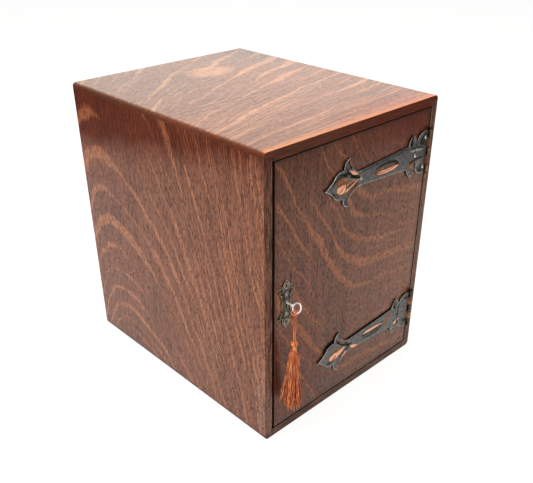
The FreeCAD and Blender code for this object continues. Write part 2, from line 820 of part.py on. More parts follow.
door_cuts = []
for name, level in hinge_levels.items():
    frame_leaf(name + "_frame_leaf", level)
    hinge_pin(name + "_hinge_pin", level)
    strap(name + "_hinge_strap", level)
    nails = [(pin_x + x, front - S["strap_thick"], level + z) for x, z in nail_spots()]
    part(name + "_strap_nails", group(*[
        dome_nail(at, S["nail_head"], S["nail_dome"], S["nail_radius"], S["nail_length"]) for at in nails]))
    door_cuts.extend(
        rod("+y", (x, front, z), S["nail_radius"] + clear, S["nail_length"] - S["strap_thick"] + clear)
        for x, y, z in nails)
part("frame_leaf_screws", group(*frame_screws))

# Right side.
right_rebate = back_rebate((inner_right, panel_right), (S["corner_lap"], high - S["corner_lap"]))
part("right_side", cut(
    eased_side(inner_right, right), right_rebate, *side_cuts, *right_cleat_holes,
    *[back_pin(spot, clear) for spot in pin_spots["right"]],
))

# Escutcheon: four wings and two pointed finials about a straight waist.
escutcheon_z = key_z - S["escutcheon_drop"]
escutcheon_face = front - S["escutcheon_thick"]


wing_level = S["waist_level"] + S["wing_step"]
finial_neck_level = wing_level + S["finial_neck_step"]
finial_level = finial_neck_level + S["finial_step"]
escutcheon_half = finial_level + S["finial_tip_step"]


def escutcheon_outline():
    """Right half from the top down, then the left half back up."""
    waist = S["waist_half"]
    top = [
        (ZERO, escutcheon_half),
        (S["finial_half"], finial_level, S["finial_bow_half"], finial_level + S["finial_bow_step"]),
        (S["finial_neck_half"], finial_neck_level),
        (S["wing_half"], wing_level),
        (waist, S["waist_level"], waist + S["waist_bow"], (wing_level + S["waist_level"]) / 2),
    ]
    right_side = list(top)
    for near, far in zip(top[::-1], [()] + top[:0:-1]):
        bend = (far[2], -far[3]) if len(far) == 4 else ()
        right_side.append((near[0], -near[1]) + bend)
    whole = list(right_side)
    for near, far in zip(right_side[-2:0:-1], right_side[:1:-1]):
        whole.append((-near[0], near[1]) + ((-far[2], far[3]) if len(far) == 4 else ()))
    return whole, (-top[1][2], top[1][3])


escutcheon = new_body("Escutcheon")
points, last_bend = escutcheon_outline()
points[0] = points[0] + last_bend
pad(escutcheon, outline(escutcheon, "XZ_Plane", points), S["escutcheon_thick"])
put(escutcheon, key_x, front, escutcheon_z)
escutcheon_pin_level = S["waist_level"] + S["escutcheon_pin_step"]
escutcheon_pin_spots = [
    (key_x, escutcheon_face, escutcheon_z + escutcheon_pin_level * side) for side in (1.0, -1.0)]
plate_span = (escutcheon_face, front)
part("escutcheon", cut(
    escutcheon, keyhole(plate_span),
    *[rod("+y", (key_x, escutcheon_face, escutcheon_z + finial_level * side), S["finial_hole"],
          S["escutcheon_thick"]) for side in (1.0, -1.0)],
    *[rod("+y", at, S["escutcheon_pin_radius"] + clear, S["escutcheon_thick"])
      for at in escutcheon_pin_spots],
))
part("escutcheon_pins", group(*[
    dome_nail(at, S["escutcheon_pin_head"], S["escutcheon_pin_dome"], S["escutcheon_pin_radius"],
              S["escutcheon_pin_length"]) for at in escutcheon_pin_spots]))
door_cuts.extend(
    rod("+y", (x, front, z), S["escutcheon_pin_radius"] + clear,
        S["escutcheon_pin_length"] - S["escutcheon_thick"] + clear)
    for x, y, z in escutcheon_pin_spots)

# Door.
door = new_body("Door")
door_corners = [
    (door_left, door_low), (door_right, door_low), (door_right, door_high), (door_left, door_high)]
pad(door, outline(door, "XZ_Plane", door_corners), S["door_thick"])
put(door, ZERO, door_back, ZERO)
ease(door, S["edge_ease"], lambda edge: flat_at(edge, "y", -S["door_thick"].value))
part("door_panel", cut(door, keyhole((front, door_back)), *lock_holes, *door_cuts))

# Key: drawn about its own axis with the bit straight up, then tilted to where it rests.
key = new_body("Key")
stem_end = -S["bow_stand"] + S["bow_radius"]
stem_tip = S["door_thick"] + S["lock_plate_thick"] + S["lock_case_depth"]
bit_near = S["door_thick"] + S["lock_plate_thick"] + S["bolt_stand"] + (S["bolt_thick"] - S["bit_width"]) / 2
shape(key, "AdditiveCylinder", (ZERO, stem_end, ZERO), turn=TURNS["+y"],
      Radius=S["key_stem"], Height=stem_tip - stem_end)
shape(key, "AdditiveCylinder", (ZERO, stem_end + S["bow_wire"], ZERO), turn=TURNS["+y"],
      Radius=S["collar_radius"], Height=S["collar_length"])
shape(key, "AdditiveTorus", (ZERO, -S["bow_stand"], ZERO), turn=TURNS["+x"],
      Radius1=S["bow_radius"], Radius2=S["bow_wire"])
shape(key, "AdditiveBox", (-S["bit_thick"] / 2, bit_near, ZERO),
      Length=S["bit_thick"], Width=S["bit_width"], Height=S["bit_reach"])
put(key, key_x, front, key_z, turn=FreeCAD.Rotation(FreeCAD.Vector(0, 1, 0), S["key_tilt"].value))
key.setExpression("Placement.Rotation.Angle", S["key_tilt"].text)
part("key", key)

# Tassel, hung from the lowest wire of the bow by two round turns of its cord.
tilt = S["key_tilt"]
tilt_sin = Size(FreeCAD.Rotation(FreeCAD.Vector(0, 1, 0), tilt.value).multVec(FreeCAD.Vector(0, 0, 1)).x,
                "sin(" + tilt.text + ")")
tilt_cos = Size(FreeCAD.Rotation(FreeCAD.Vector(0, 1, 0), tilt.value).multVec(FreeCAD.Vector(0, 0, 1)).z,
                "cos(" + tilt.text + ")")
hang_x = key_x - S["bow_radius"] * tilt_sin
hang_y = front - S["bow_stand"]
hang_z = key_z - S["bow_radius"] * tilt_cos
cord = S["cord_radius"]
turn_radius = S["hitch_bore"] + cord
strand_offset = cord + S["strand_gap"] / 2
# The two turns bite into each other by a twentieth of their wire, as tight turns of soft cord do.
turn_share = 0.95


def round_turn(side):
    ring = doc.addObject("Part::Torus", "Turn")
    bind(ring, Radius1=turn_radius, Radius2=cord)
    return put(ring, hang_x, hang_y + cord * turn_share * side, hang_z, turn=TURNS["+y"])


part("tassel_hitch", join(round_turn(1.0), round_turn(-1.0)))
cord_top = hang_z - turn_radius - cord - S["cord_gap"]
cord_foot = cord_top - S["cord_length"]
part("tassel_cord", group(*[
    rod("+z", (hang_x, hang_y + strand_offset * side, cord_foot), cord, S["cord_length"])
    for side in (1.0, -1.0)]))

# Head: two bound beads with a waist between them, as shares of its length.
head = new_body("TasselHead")
bead, waist, tall = S["head_bead"], S["head_waist"], S["head_length"]
bead_share = 0.36
revolve(head, outline(head, "XZ_Plane", [
    (ZERO, ZERO),
    (waist, ZERO),
    (waist, -tall * bead_share, bead, -tall * (bead_share / 2)),
    (waist, -tall * (1 - bead_share)),
    (waist, -tall, bead, -tall * (1 - bead_share / 2)),
    (ZERO, -tall),
]))
put(head, hang_x, hang_y, cord_foot)
part("tassel_head", head)

# Skirt: narrow neck, soft shoulder and a gentle flare to an uneven, slightly rounded foot.
skirt = new_body("TasselSkirt")
fall, neck, shoulder, foot = S["skirt_length"], S["skirt_neck"], S["skirt_shoulder"], S["skirt_foot"]
revolve(skirt, outline(skirt, "XZ_Plane", [
    (ZERO, ZERO),
    (neck, ZERO),
    (shoulder, -fall * 0.22, neck + (shoulder - neck) * 0.72, -fall * 0.08),
    (foot, -fall * 0.97, shoulder + (foot - shoulder) * 0.44, -fall * 0.6),
    (foot * 0.93, -fall),
    (ZERO, -fall),
]))
put(skirt, hang_x, hang_y, cord_foot - S["head_length"])
part("tassel_skirt", skirt)


doc.recompute()
faults = [item.Name + " " + item.Label for item in doc.Objects if {"Invalid", "Error"} & set(item.State)]
faults += [name for name, item in PARTS.items() if item.Shape.isNull() or not item.Shape.isValid()]
if faults:
    raise RuntimeError("not built: " + ", ".join(faults))
os.makedirs("parts", exist_ok=True)
for name, item in PARTS.items():
    item.Shape.exportStep("parts/" + name + ".step")
    print(name, "solids", len(item.Shape.Solids), "volume", round(item.Shape.Volume, 1))
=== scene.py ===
"""Looks of the oak tabletop cabinet: fumed quarter-sawn oak, patinated copper, steel key and silk tassel."""
import math
import random

import bmesh
import bpy
import numpy as np
from mathutils import Matrix, Vector


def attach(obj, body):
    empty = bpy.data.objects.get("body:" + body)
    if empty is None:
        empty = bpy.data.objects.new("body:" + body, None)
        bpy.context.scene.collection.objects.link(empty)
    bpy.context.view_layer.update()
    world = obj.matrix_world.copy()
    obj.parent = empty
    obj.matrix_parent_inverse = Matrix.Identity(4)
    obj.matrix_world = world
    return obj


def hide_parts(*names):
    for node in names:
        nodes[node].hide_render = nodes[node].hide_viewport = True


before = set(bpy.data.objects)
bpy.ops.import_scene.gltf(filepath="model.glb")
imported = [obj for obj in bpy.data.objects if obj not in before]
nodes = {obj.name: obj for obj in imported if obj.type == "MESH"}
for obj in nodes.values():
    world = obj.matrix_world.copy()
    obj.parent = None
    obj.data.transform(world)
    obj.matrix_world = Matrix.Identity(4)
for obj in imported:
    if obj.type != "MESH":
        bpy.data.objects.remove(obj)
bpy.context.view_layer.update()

MM = 0.001

# Places from the model, in millimetres: case and door edges, the key's ring and its tilt, the line that the
# tassel hangs on and its levels, the hinges' pin and levels, the lock plate's middle, and the deepest that a
# strap's hollow may go.
CASE_SIDE = 149.0
CASE_TOP = 380.0
FRONT_EDGE = -182.5
DOOR_X = (-134.0, 136.0)
DOOR_Z = (13.0, 367.2)
RING = (-116.0, -200.5, 193.0)
RING_RADIUS = 5.7
RING_TILT = math.radians(30.0)
HANG_X, HANG_Y = -118.85, -200.5
CORD_TOP = 184.5137
CORD_FOOT = 148.0137
HEAD_FOOT = 133.0137
SKIRT_FOOT = 51.0137
STRAND_SIDE = 0.95
PIN_X = 136.5
UPPER_HINGE = 311.5
LOWER_HINGE = 73.0
PLATE = (-116.0, 191.0)
STRAP_FLOOR = -183.0
CORD_THICK = 1.8
# Half size of an oval that goes right through a board.
THROUGH = 400.0


def linear(code):
    """sRGB hex colour as linear red, green, blue and alpha."""
    parts = [int(code[i:i + 2], 16) / 255 for i in (1, 3, 5)]
    return [c / 12.92 if c <= 0.04045 else ((c + 0.055) / 1.055) ** 2.4 for c in parts] + [1.0]


def add(tree, kind, inputs=None, out=0, **settings):
    """Add one node with its settings, its input values or links, and give back one of its outputs."""
    made = tree.nodes.new("ShaderNode" + kind)
    for name, value in settings.items():
        setattr(made, name, value)
    for key, value in (inputs or {}).items():
        if isinstance(value, bpy.types.NodeSocket):
            tree.links.new(value, made.inputs[key])
        else:
            made.inputs[key].default_value = value
    return made.outputs[out] if len(made.outputs) else made


def new_material(name):
    made = bpy.data.materials.new(name)
    made.use_nodes = True
    made.node_tree.nodes.clear()
    return made, made.node_tree


def dress(name, material):
    """Give a model node one material."""
    mesh = nodes[name].data
    mesh.materials.clear()
    mesh.materials.append(material)


# Camera, fitted to the photograph's frame: its width and the focal length in pixels.
PHOTO_WIDTH = 533.0
FOCAL_PIXELS = 682.389
SENSOR_WIDTH = 36.0
camera_data = bpy.data.cameras.new("camera")
camera = bpy.data.objects.new("camera", camera_data)
bpy.context.scene.collection.objects.link(camera)
camera_data.sensor_width = SENSOR_WIDTH
camera_data.lens = FOCAL_PIXELS * SENSOR_WIDTH / PHOTO_WIDTH
camera_data.shift_x = -0.00772
camera_data.shift_y = 0.06495
camera_data.clip_start = 0.01
forward = Vector((0.597103, 0.620249, -0.508684))
camera.location = Vector((-0.58475, -0.64468, 0.61619))
camera.rotation_euler = forward.to_track_quat("-Z", "Y").to_euler()
bpy.context.scene.camera = camera


# Figure of each board: a count that goes up by one from each ray fleck to the next, worked out from
# places in millimetres, and the run along the flecks.
# Left side: where the arches' middle line starts and how it leans, how much faster they close behind it, how
# they bow near it and far from it, and their spacing, in roots of the height.
ARCH_START, ARCH_LEAN = 108.0, 0.12
ARCH_BEHIND = -1.7
ARCH_BOW, ARCH_FAR_BOW, ARCH_FAR_POWER = 0.00525, 2.2e-10, 2.5
ARCH_SPACING = 1.5
# Door: where the lines bend and how the bend leans, the slopes on both sides of it, its roundness, the top
# line and the spacing, and how a line's run goes with the height.
BEND_START, BEND_LEAN = -41.0, 0.2
LOCK_SLOPE, HINGE_SLOPE = 1.2, 0.14
BEND_ROUND = 45.0
DOOR_LINE_TOP, DOOR_LINE_SPACING = 408.0, 29.0
DOOR_LINE_RUN = -0.7
# Top: how far before and beside the middle the point lies that the lines spread from, how the spread bends,
# how close the lines are, and how a line's run goes with the depth.
SPREAD_AHEAD, SPREAD_ASIDE, SPREAD_BEND = 194.0, 269.0, 0.5
TOP_LINE_COUNT, TOP_LINE_RUN = 4.3, 0.4
# Hidden boards: the spacing of their flecks.
PLAIN_SPACING = 24.0
# Darkening on the door above a strap, from the pin and the strap's middle line: how the bar's edge falls,
# between which heights the darkening thins out, and the oval over the bulb.
STRAP_DARK_FALL = 0.0626
STRAP_DARK_THICK, STRAP_DARK_GONE = 18.5, 23.0
STRAP_DARK_OVAL, STRAP_DARK_OVAL_HALF = (167.0, 12.0, 0.0), (23.0, 15.0)


def side_figure(tree, x, y, z):
    """Nested arches at the back, running out to upright lines at the front, wider apart."""
    lean = add(tree, "Math", {0: z, 1: ARCH_LEAN, 2: ARCH_START}, operation="MULTIPLY_ADD")
    ahead = add(tree, "Math", {0: lean, 1: y}, operation="SUBTRACT")
    behind = add(tree, "Math", {0: ahead, 1: ARCH_BEHIND}, operation="MULTIPLY")
    off = add(tree, "Math", {0: ahead, 1: behind}, operation="MAXIMUM")
    square = add(tree, "Math", {0: off, 1: off}, operation="MULTIPLY")
    far = add(tree, "Math", {0: square, 1: ARCH_FAR_POWER}, operation="POWER")
    rise = add(tree, "Math", {0: square, 1: ARCH_BOW, 2: z}, operation="MULTIPLY_ADD")
    level = add(tree, "Math", {0: far, 1: ARCH_FAR_BOW, 2: rise}, operation="MULTIPLY_ADD")
    root = add(tree, "Math", {0: level}, operation="SQRT")
    count = add(tree, "Math", {0: root, 1: 1 / ARCH_SPACING}, operation="MULTIPLY")
    run = add(tree, "Math", {0: y, 1: z}, operation="ADD")
    return count, run


def door_figure(tree, x, y, z):
    """Lines that fall from the lock side, bend in the middle and run nearly level to the hinge side."""
    bend = add(tree, "Math", {0: z, 1: BEND_LEAN, 2: BEND_START}, operation="MULTIPLY_ADD")
    off = add(tree, "Math", {0: bend, 1: x}, operation="SUBTRACT")
    fall = add(tree, "Math", {0: off, 1: LOCK_SLOPE}, operation="MULTIPLY")
    back = add(tree, "Math", {0: off, 1: HINGE_SLOPE}, operation="MULTIPLY")
    arm = add(tree, "Math", {0: fall, 1: back, 2: BEND_ROUND}, operation="SMOOTH_MAX")
    drop = add(tree, "Math", {0: DOOR_LINE_TOP, 1: z}, operation="SUBTRACT")
    level = add(tree, "Math", {0: arm, 1: drop}, operation="ADD")
    count = add(tree, "Math", {0: level, 1: 1 / DOOR_LINE_SPACING}, operation="MULTIPLY")
    run = add(tree, "Math", {0: z, 1: DOOR_LINE_RUN, 2: x}, operation="MULTIPLY_ADD")
    return count, run


def top_figure(tree, x, y, z):
    """Lines that spread from the left front corner, level along the front and steep at the back."""
    deep = add(tree, "Math", {0: y, 1: SPREAD_AHEAD}, operation="ADD")
    wide = add(tree, "Math", {0: x, 1: SPREAD_ASIDE}, operation="ADD")
    bent = add(tree, "Math", {0: wide, 1: SPREAD_BEND}, operation="POWER")
    slope = add(tree, "Math", {0: deep, 1: bent}, operation="DIVIDE")
    root = add(tree, "Math", {0: slope}, operation="SQRT")
    count = add(tree, "Math", {0: root, 1: TOP_LINE_COUNT}, operation="MULTIPLY")
    run = add(tree, "Math", {0: y, 1: TOP_LINE_RUN, 2: x}, operation="MULTIPLY_ADD")
    return count, run


def plain_figure(tree, x, y, z):
    """Short flecks across the straight grain of the hidden boards."""
    both = add(tree, "Math", {0: x, 1: y}, operation="ADD")
    count = add(tree, "Math", {0: both, 1: 1 / PLAIN_SPACING}, operation="MULTIPLY")
    return count, z


def oak(name, grain, face, figure, palette, seed, ribbons, shine=0.5, rough=0.24, amount=1.0, inside=0.0,
        painted_top_shade=None, border=False, wear=None, patch=None, strap=None, painted_side_light=None, foot=0.0, open_grain=1.0,
        amber="#ffeedd", sway=26.0, painted_light_ovals=()):
    """Quarter-sawn white oak, fumed, stained and polished with amber shellac: short dark open pores and fine
    fibres along the grain, wandering paler ray flecks across it, and a warm soft gloss that the pores break.
    The grain's axis and the axis of the broad face come first; sway is the wander of the flecks."""
    material, tree = new_material(name)
    spot = add(tree, "TexCoord", out="Object")
    normal = add(tree, "TexCoord", out="Normal")
    deep, brown, pale, black, edge = [linear(code) for code in palette]

    def stretched(across, along, detail, shift):
        scale = [1.0 / (across * MM)] * 3
        scale[grain] = 1.0 / (along * MM)
        place = add(tree, "Mapping", {"Vector": spot, "Scale": scale, "Location": (shift, seed, shift)})
        return add(tree, "TexNoise", {"Vector": place, "Scale": 1.0, "Detail": detail, "Roughness": 0.55})

    def from_oval(place, at, half):
        """From 0 in the middle of an oval to 1 at its edge: its middle and half sizes are in millimetres."""
        off = add(tree, "VectorMath", {0: place, 1: [c * MM for c in at]}, operation="SUBTRACT")
        off = add(tree, "VectorMath", {0: off, 1: [1.0 / (c * MM) for c in half]}, operation="MULTIPLY")
        return add(tree, "VectorMath", {0: off}, out="Value", operation="LENGTH")

    # Places in millimetres, as they are and with the slow wander of the grain.
    still = tree.nodes.new("ShaderNodeSeparateXYZ")
    tree.links.new(add(tree, "VectorMath", {0: spot, "Scale": 1.0 / MM}, operation="SCALE"), still.inputs[0])
    wander = add(tree, "TexNoise", {"Vector": spot, "Scale": 1.0 / (55.0 * MM), "Detail": 2.0}, out="Color")
    middle = add(tree, "VectorMath", {0: wander, 1: (0.5, 0.5, 0.5)}, operation="SUBTRACT")
    moved = add(tree, "VectorMath", {0: middle, 1: (sway * MM,) * 3, 2: spot}, operation="MULTIPLY_ADD")
    parts = tree.nodes.new("ShaderNodeSeparateXYZ")
    tree.links.new(add(tree, "VectorMath", {0: moved, "Scale": 1.0 / MM}, operation="SCALE"), parts.inputs[0])

    # Ray flecks: one ribbon for each whole count, whose line wanders, whose width comes and goes along its
    # run, and whose edges are feathered along the grain.
    count, run = figure(tree, *parts.outputs)
    feather = add(tree, "Math", {0: stretched(1.3, 9.0, 1.0, 1.0), 1: 0.2}, operation="MULTIPLY")
    flecks = None
    for every, length, scarce, thick, strength, shift, place_mask in ribbons:
        step = add(tree, "Math", {0: count, 1: every, 2: feather}, operation="MULTIPLY_ADD")
        cell = add(tree, "Math", {0: step}, operation="FLOOR")
        along = add(tree, "Math", {0: run, 1: 1.0 / length}, operation="MULTIPLY")
        apart = add(tree, "Math", {0: cell, 1: 3.7}, operation="MULTIPLY")
        place = add(tree, "CombineXYZ", {0: apart, 1: along, 2: seed + shift})
        chance = add(tree, "TexNoise", {"Vector": place, "Scale": 1.0, "Detail": 1.0})
        width = add(tree, "MapRange", {0: chance, 1: scarce, 2: scarce + 0.3, 3: -0.02, 4: thick})
        inner = add(tree, "Math", {0: width, 1: -0.1}, operation="ADD")
        within = add(tree, "Math", {0: step}, operation="FRACT")
        away = add(tree, "Math", {0: within, 1: 0.5}, operation="SUBTRACT")
        away = add(tree, "Math", {0: away}, operation="ABSOLUTE")
        mask = add(tree, "MapRange", {0: away, 1: width, 2: inner, 3: 0.0, 4: strength})
        if place_mask:
            axis, begin, finish = place_mask
            held = add(tree, "MapRange", {0: still.outputs[axis], 1: begin, 2: finish})
            mask = add(tree, "Math", {0: mask, 1: held}, operation="MULTIPLY")
        flecks = mask if flecks is None else add(tree, "Math", {0: flecks, 1: mask}, operation="MAXIMUM")
    if patch:
        # One broad fleck, where the saw ran along the rays.
        off = from_oval(moved, *patch)
        off = add(tree, "Math", {0: feather, 1: 1.2, 2: off}, operation="MULTIPLY_ADD")
        mask = add(tree, "MapRange", {0: off, 1: 1.25, 2: 0.7, 4: 0.85})
        flecks = add(tree, "Math", {0: flecks, 1: mask}, operation="MAXIMUM")
    axes = tree.nodes.new("ShaderNodeSeparateXYZ")
    tree.links.new(normal, axes.inputs[0])
    facing = add(tree, "Math", {0: axes.outputs[face]}, operation="ABSOLUTE")
    broad = add(tree, "MapRange", {0: facing, 1: 0.78, 2: 0.97})
    streaks = add(tree, "MapRange", {
        0: stretched(1.1, 14.0, 2.0, 11.0), 1: 0.3, 2: 0.62, 3: 0.6 * amount, 4: amount})
    flecks = add(tree, "Math", {0: flecks, 1: broad}, operation="MULTIPLY")
    flecks = add(tree, "Math", {0: flecks, 1: streaks}, operation="MULTIPLY")

    # Pores and fibres are drawn about five times coarser than real ones, so that they show at this size.
    pores = add(tree, "MapRange", {0: stretched(1.15, 5.0, 2.0, 3.0), 1: 0.48, 2: 0.64, 4: open_grain})
    fibres = stretched(1.3, 26.0, 2.0, 17.0)
    rings = add(tree, "MapRange", {0: stretched(3.5, 160.0, 3.0, 5.0), 1: 0.32, 2: 0.68})
    cloud = add(tree, "MapRange", {0: stretched(60.0, 120.0, 1.0, 9.0), 1: 0.3, 2: 0.7, 4: 0.6})
    colour = add(tree, "Mix", {0: rings, 6: deep, 7: brown}, out=2, data_type="RGBA")
    colour = add(tree, "Mix", {0: cloud, 6: colour, 7: brown}, out=2, data_type="RGBA")
    light = add(tree, "MapRange", {0: fibres, 1: 0.52, 2: 0.7, 4: 0.3})
    light = add(tree, "Math", {0: light, 1: flecks}, operation="MAXIMUM")
    colour = add(tree, "Mix", {0: light, 6: colour, 7: pale}, out=2, data_type="RGBA")
    shade = add(tree, "MapRange", {0: fibres, 1: 0.47, 2: 0.32, 4: 0.3})
    shade = add(tree, "Math", {0: pores, 1: 0.68, 2: shade}, operation="MULTIPLY_ADD", use_clamp=True)
    open_pores = add(tree, "Math", {0: pores, 1: 0.7}, operation="MULTIPLY")
    # The narrow edges of the boards are end and edge grain, which took the stain darker and the polish less.
    narrow = add(tree, "MapRange", {0: broad, 3: 0.75, 4: 0.0})
    streak = add(tree, "MapRange", {0: fibres, 1: 0.4, 2: 0.6})
    trim = add(tree, "Mix", {0: streak, 6: black, 7: edge}, out=2, data_type="RGBA")
    colour = add(tree, "Mix", {0: narrow, 6: colour, 7: trim}, out=2, data_type="RGBA")
    dull = add(tree, "Math", {0: open_pores, 1: narrow}, operation="MAXIMUM")
    if foot:
        # Painted shade: the foot of the board is darker and duller where it meets the floor.
        near = add(tree, "MapRange", {0: still.outputs[2], 1: 15.0, 2: 0.0, 4: foot},
                   interpolation_type="SMOOTHSTEP")
        shade = add(tree, "Math", {0: shade, 1: near}, operation="MAXIMUM")
        dull = add(tree, "Math", {0: dull, 1: near}, operation="MAXIMUM")
    if painted_side_light:
        # Painted light: the colour turns paler towards one side.
        axis, begin, finish, most = painted_side_light
        near = add(tree, "MapRange", {0: still.outputs[axis], 1: begin, 2: finish, 4: most})
        colour = add(tree, "Mix", {0: near, 6: colour, 7: pale}, out=2, data_type="RGBA")
    if painted_top_shade:
        # Painted shade: the board turns darker and duller towards its top.
        slope, begin, finish, depth = painted_top_shade
        level = add(tree, "VectorMath", {0: spot, 1: [c / MM for c in slope]}, out="Value",
                    operation="DOT_PRODUCT")
        level = add(tree, "Math", {0: wander, 1: 40.0, 2: level}, operation="MULTIPLY_ADD")
        late = add(tree, "MapRange", {0: level, 1: begin + 20.0, 2: finish + 20.0, 4: depth},
                   interpolation_type="SMOOTHSTEP")
        dull = add(tree, "Math", {0: dull, 1: late}, operation="MAXIMUM")
        kept = add(tree, "MapRange", {0: flecks, 3: 1.0, 4: 0.4})
        late = add(tree, "Math", {0: late, 1: kept}, operation="MULTIPLY")
        colour = add(tree, "Mix", {0: late, 6: colour, 7: linear("#c08872")}, out=2, data_type="RGBA",
                     blend_type="MULTIPLY")
    for at, half, tint, blend in painted_light_ovals:
        # Painted light and shade: ovals where the colour is screened paler or multiplied darker and warmer,
        # in place of reflections and lamp light.
        mask = add(tree, "MapRange", {0: from_oval(spot, at, half), 1: 1.0, 2: 0.2, 4: 0.9},
                   interpolation_type="SMOOTHSTEP")
        colour = add(tree, "Mix", {0: mask, 6: colour, 7: linear(tint)}, out=2, data_type="RGBA",
                     blend_type=blend)
    if border:
        # Old polish builds up and darkens along the door's edges.
        for axis, (low, high) in ((0, DOOR_X), (2, DOOR_Z)):
            half, middle_at = (high - low) / 2, (low + high) / 2
            away = add(tree, "Math", {0: still.outputs[axis], 1: middle_at}, operation="SUBTRACT")
            away = add(tree, "Math", {0: away}, operation="ABSOLUTE")
            near = add(tree, "MapRange", {0: away, 1: half - 9.0, 2: half, 4: 0.6},
                       interpolation_type="SMOOTHSTEP")
            shade = add(tree, "Math", {0: shade, 1: near}, operation="MAXIMUM")
    if strap:
        # The wood is darker along the upper edge of one hinge strap and over its bulb.
        reach = add(tree, "Math", {0: PIN_X, 1: still.outputs[0]}, operation="SUBTRACT")
        rise = add(tree, "Math", {0: still.outputs[2], 1: strap}, operation="SUBTRACT")
        above = add(tree, "Math", {0: reach, 1: STRAP_DARK_FALL, 2: rise}, operation="MULTIPLY_ADD")
        near = add(tree, "MapRange", {0: above, 1: STRAP_DARK_THICK, 2: STRAP_DARK_GONE, 3: 0.95, 4: 0.0})
        for value, low, high in ((rise, 0.0, 2.0), (reach, 30.0, 38.0), (reach, 142.0, 130.0)):
            held = add(tree, "MapRange", {0: value, 1: low, 2: high})
            near = add(tree, "Math", {0: near, 1: held}, operation="MULTIPLY")
        place = add(tree, "CombineXYZ", {0: reach, 1: rise})
        place = add(tree, "VectorMath", {0: place, 1: STRAP_DARK_OVAL}, operation="SUBTRACT")
        shrink = (1 / STRAP_DARK_OVAL_HALF[0], 1 / STRAP_DARK_OVAL_HALF[1], 0.0)
        place = add(tree, "VectorMath", {0: place, 1: shrink}, operation="MULTIPLY")
        place = add(tree, "VectorMath", {0: place}, out="Value", operation="LENGTH")
        bulb = add(tree, "MapRange", {0: place, 1: 1.0, 2: 0.55, 4: 0.95}, interpolation_type="SMOOTHSTEP")
        near = add(tree, "Math", {0: near, 1: bulb}, operation="MAXIMUM")
        outer = add(tree, "MapRange", {0: axes.outputs[face], 1: -0.3, 2: -0.8})
        near = add(tree, "Math", {0: near, 1: outer}, operation="MULTIPLY")
        shade = add(tree, "Math", {0: shade, 1: near}, operation="MAXIMUM")
        dull = add(tree, "Math", {0: dull, 1: near}, operation="MAXIMUM")
    colour = add(tree, "Mix", {0: shade, 6: colour, 7: black}, out=2, data_type="RGBA")
    if wear:
        # Handling has worn the stain through along one edge.
        axis, at, width, most, bare = wear
        away = add(tree, "Math", {0: still.outputs[axis], 1: at}, operation="SUBTRACT")
        away = add(tree, "Math", {0: away}, operation="ABSOLUTE")
        away = add(tree, "Math", {0: fibres, 1: width, 2: away}, operation="MULTIPLY_ADD")
        near = add(tree, "MapRange", {0: away, 1: 0.5 * width, 2: 1.4 * width, 3: most, 4: 0.0})
        near = add(tree, "Math", {0: near, 1: broad}, operation="MULTIPLY")
        colour = add(tree, "Mix", {0: near, 6: colour, 7: linear(bare)}, out=2, data_type="RGBA")
        dull = add(tree, "Math", {0: dull, 1: near}, operation="MAXIMUM")
    if inside:
        # Painted shade: the board is blackened and dulled where it faces the door's edge, in the dark of the
        # gap.
        turned = add(tree, "MapRange", {0: axes.outputs[face], 1: 0.3 * inside, 2: 0.6 * inside})
        ahead = add(tree, "MapRange", {0: still.outputs[1], 1: -160.0, 2: -169.0})
        gap = add(tree, "Math", {0: turned, 1: ahead}, operation="MULTIPLY")
        gap = add(tree, "Math", {0: gap, 1: 0.97}, operation="MULTIPLY")
        colour = add(tree, "Mix", {0: gap, 6: colour, 7: linear("#080403")}, out=2, data_type="RGBA")
        dull = add(tree, "Math", {0: dull, 1: gap}, operation="MAXIMUM")
    gloss = add(tree, "MapRange", {0: dull, 3: rough, 4: rough + 0.25})
    level = add(tree, "MapRange", {0: dull, 3: shine, 4: 0.04})
    bump = add(tree, "Bump", {"Strength": 0.06, "Distance": 0.1 * MM, "Height": pores}, invert=True)
    shader = add(tree, "BsdfPrincipled", {
        "Base Color": colour, "Roughness": gloss, "IOR": 1.5, "Specular IOR Level": level,
        "Specular Tint": linear(amber), "Normal": bump})
    add(tree, "OutputMaterial", {"Surface": shader})
    return material


# Stain of each board, from the deepest brown to the pale flecks, the black of its pores, and its edges.
RED_STAIN = ("#532a1c", "#834b34", "#b27350", "#2f150d", "#8f6957")
DOOR_STAIN = ("#522d20", "#7f4b36", "#ae6944", "#22110a", "#1a0d07")
TOP_STAIN = ("#563122", "#845640", "#c28b67", "#3c2316", "#70301a")
OILED = ("#6a4429", "#94653f", "#b58556", "#3c2413", "#4a2e18")
# Ribbons of flecks: how many to a count, length, scarcity, thickness, strength, shift, and the axis and the
# places between which they come in.
FRONT_HALF = (1, 70.0, -60.0)
SIDE_LINES = ((1.0, 190.0, 0.35, 0.25, 0.9, 0.0, None), (3.0, 300.0, 0.33, 0.23, 0.75, 7.3, FRONT_HALF))
DOOR_LINES = ((1.0, 240.0, 0.41, 0.36, 0.95, 1.3, None), (2.7, 90.0, 0.43, 0.22, 0.5, 7.3, None))
TOP_LINES = ((1.0, 180.0, 0.38, 0.24, 0.8, 0.0, None), (2.6, 300.0, 0.35, 0.22, 0.7, 5.1, (1, 0.0, -90.0)),
             (2.2, 80.0, 0.42, 0.22, 0.6, 2.2, (0, 60.0, -60.0)))
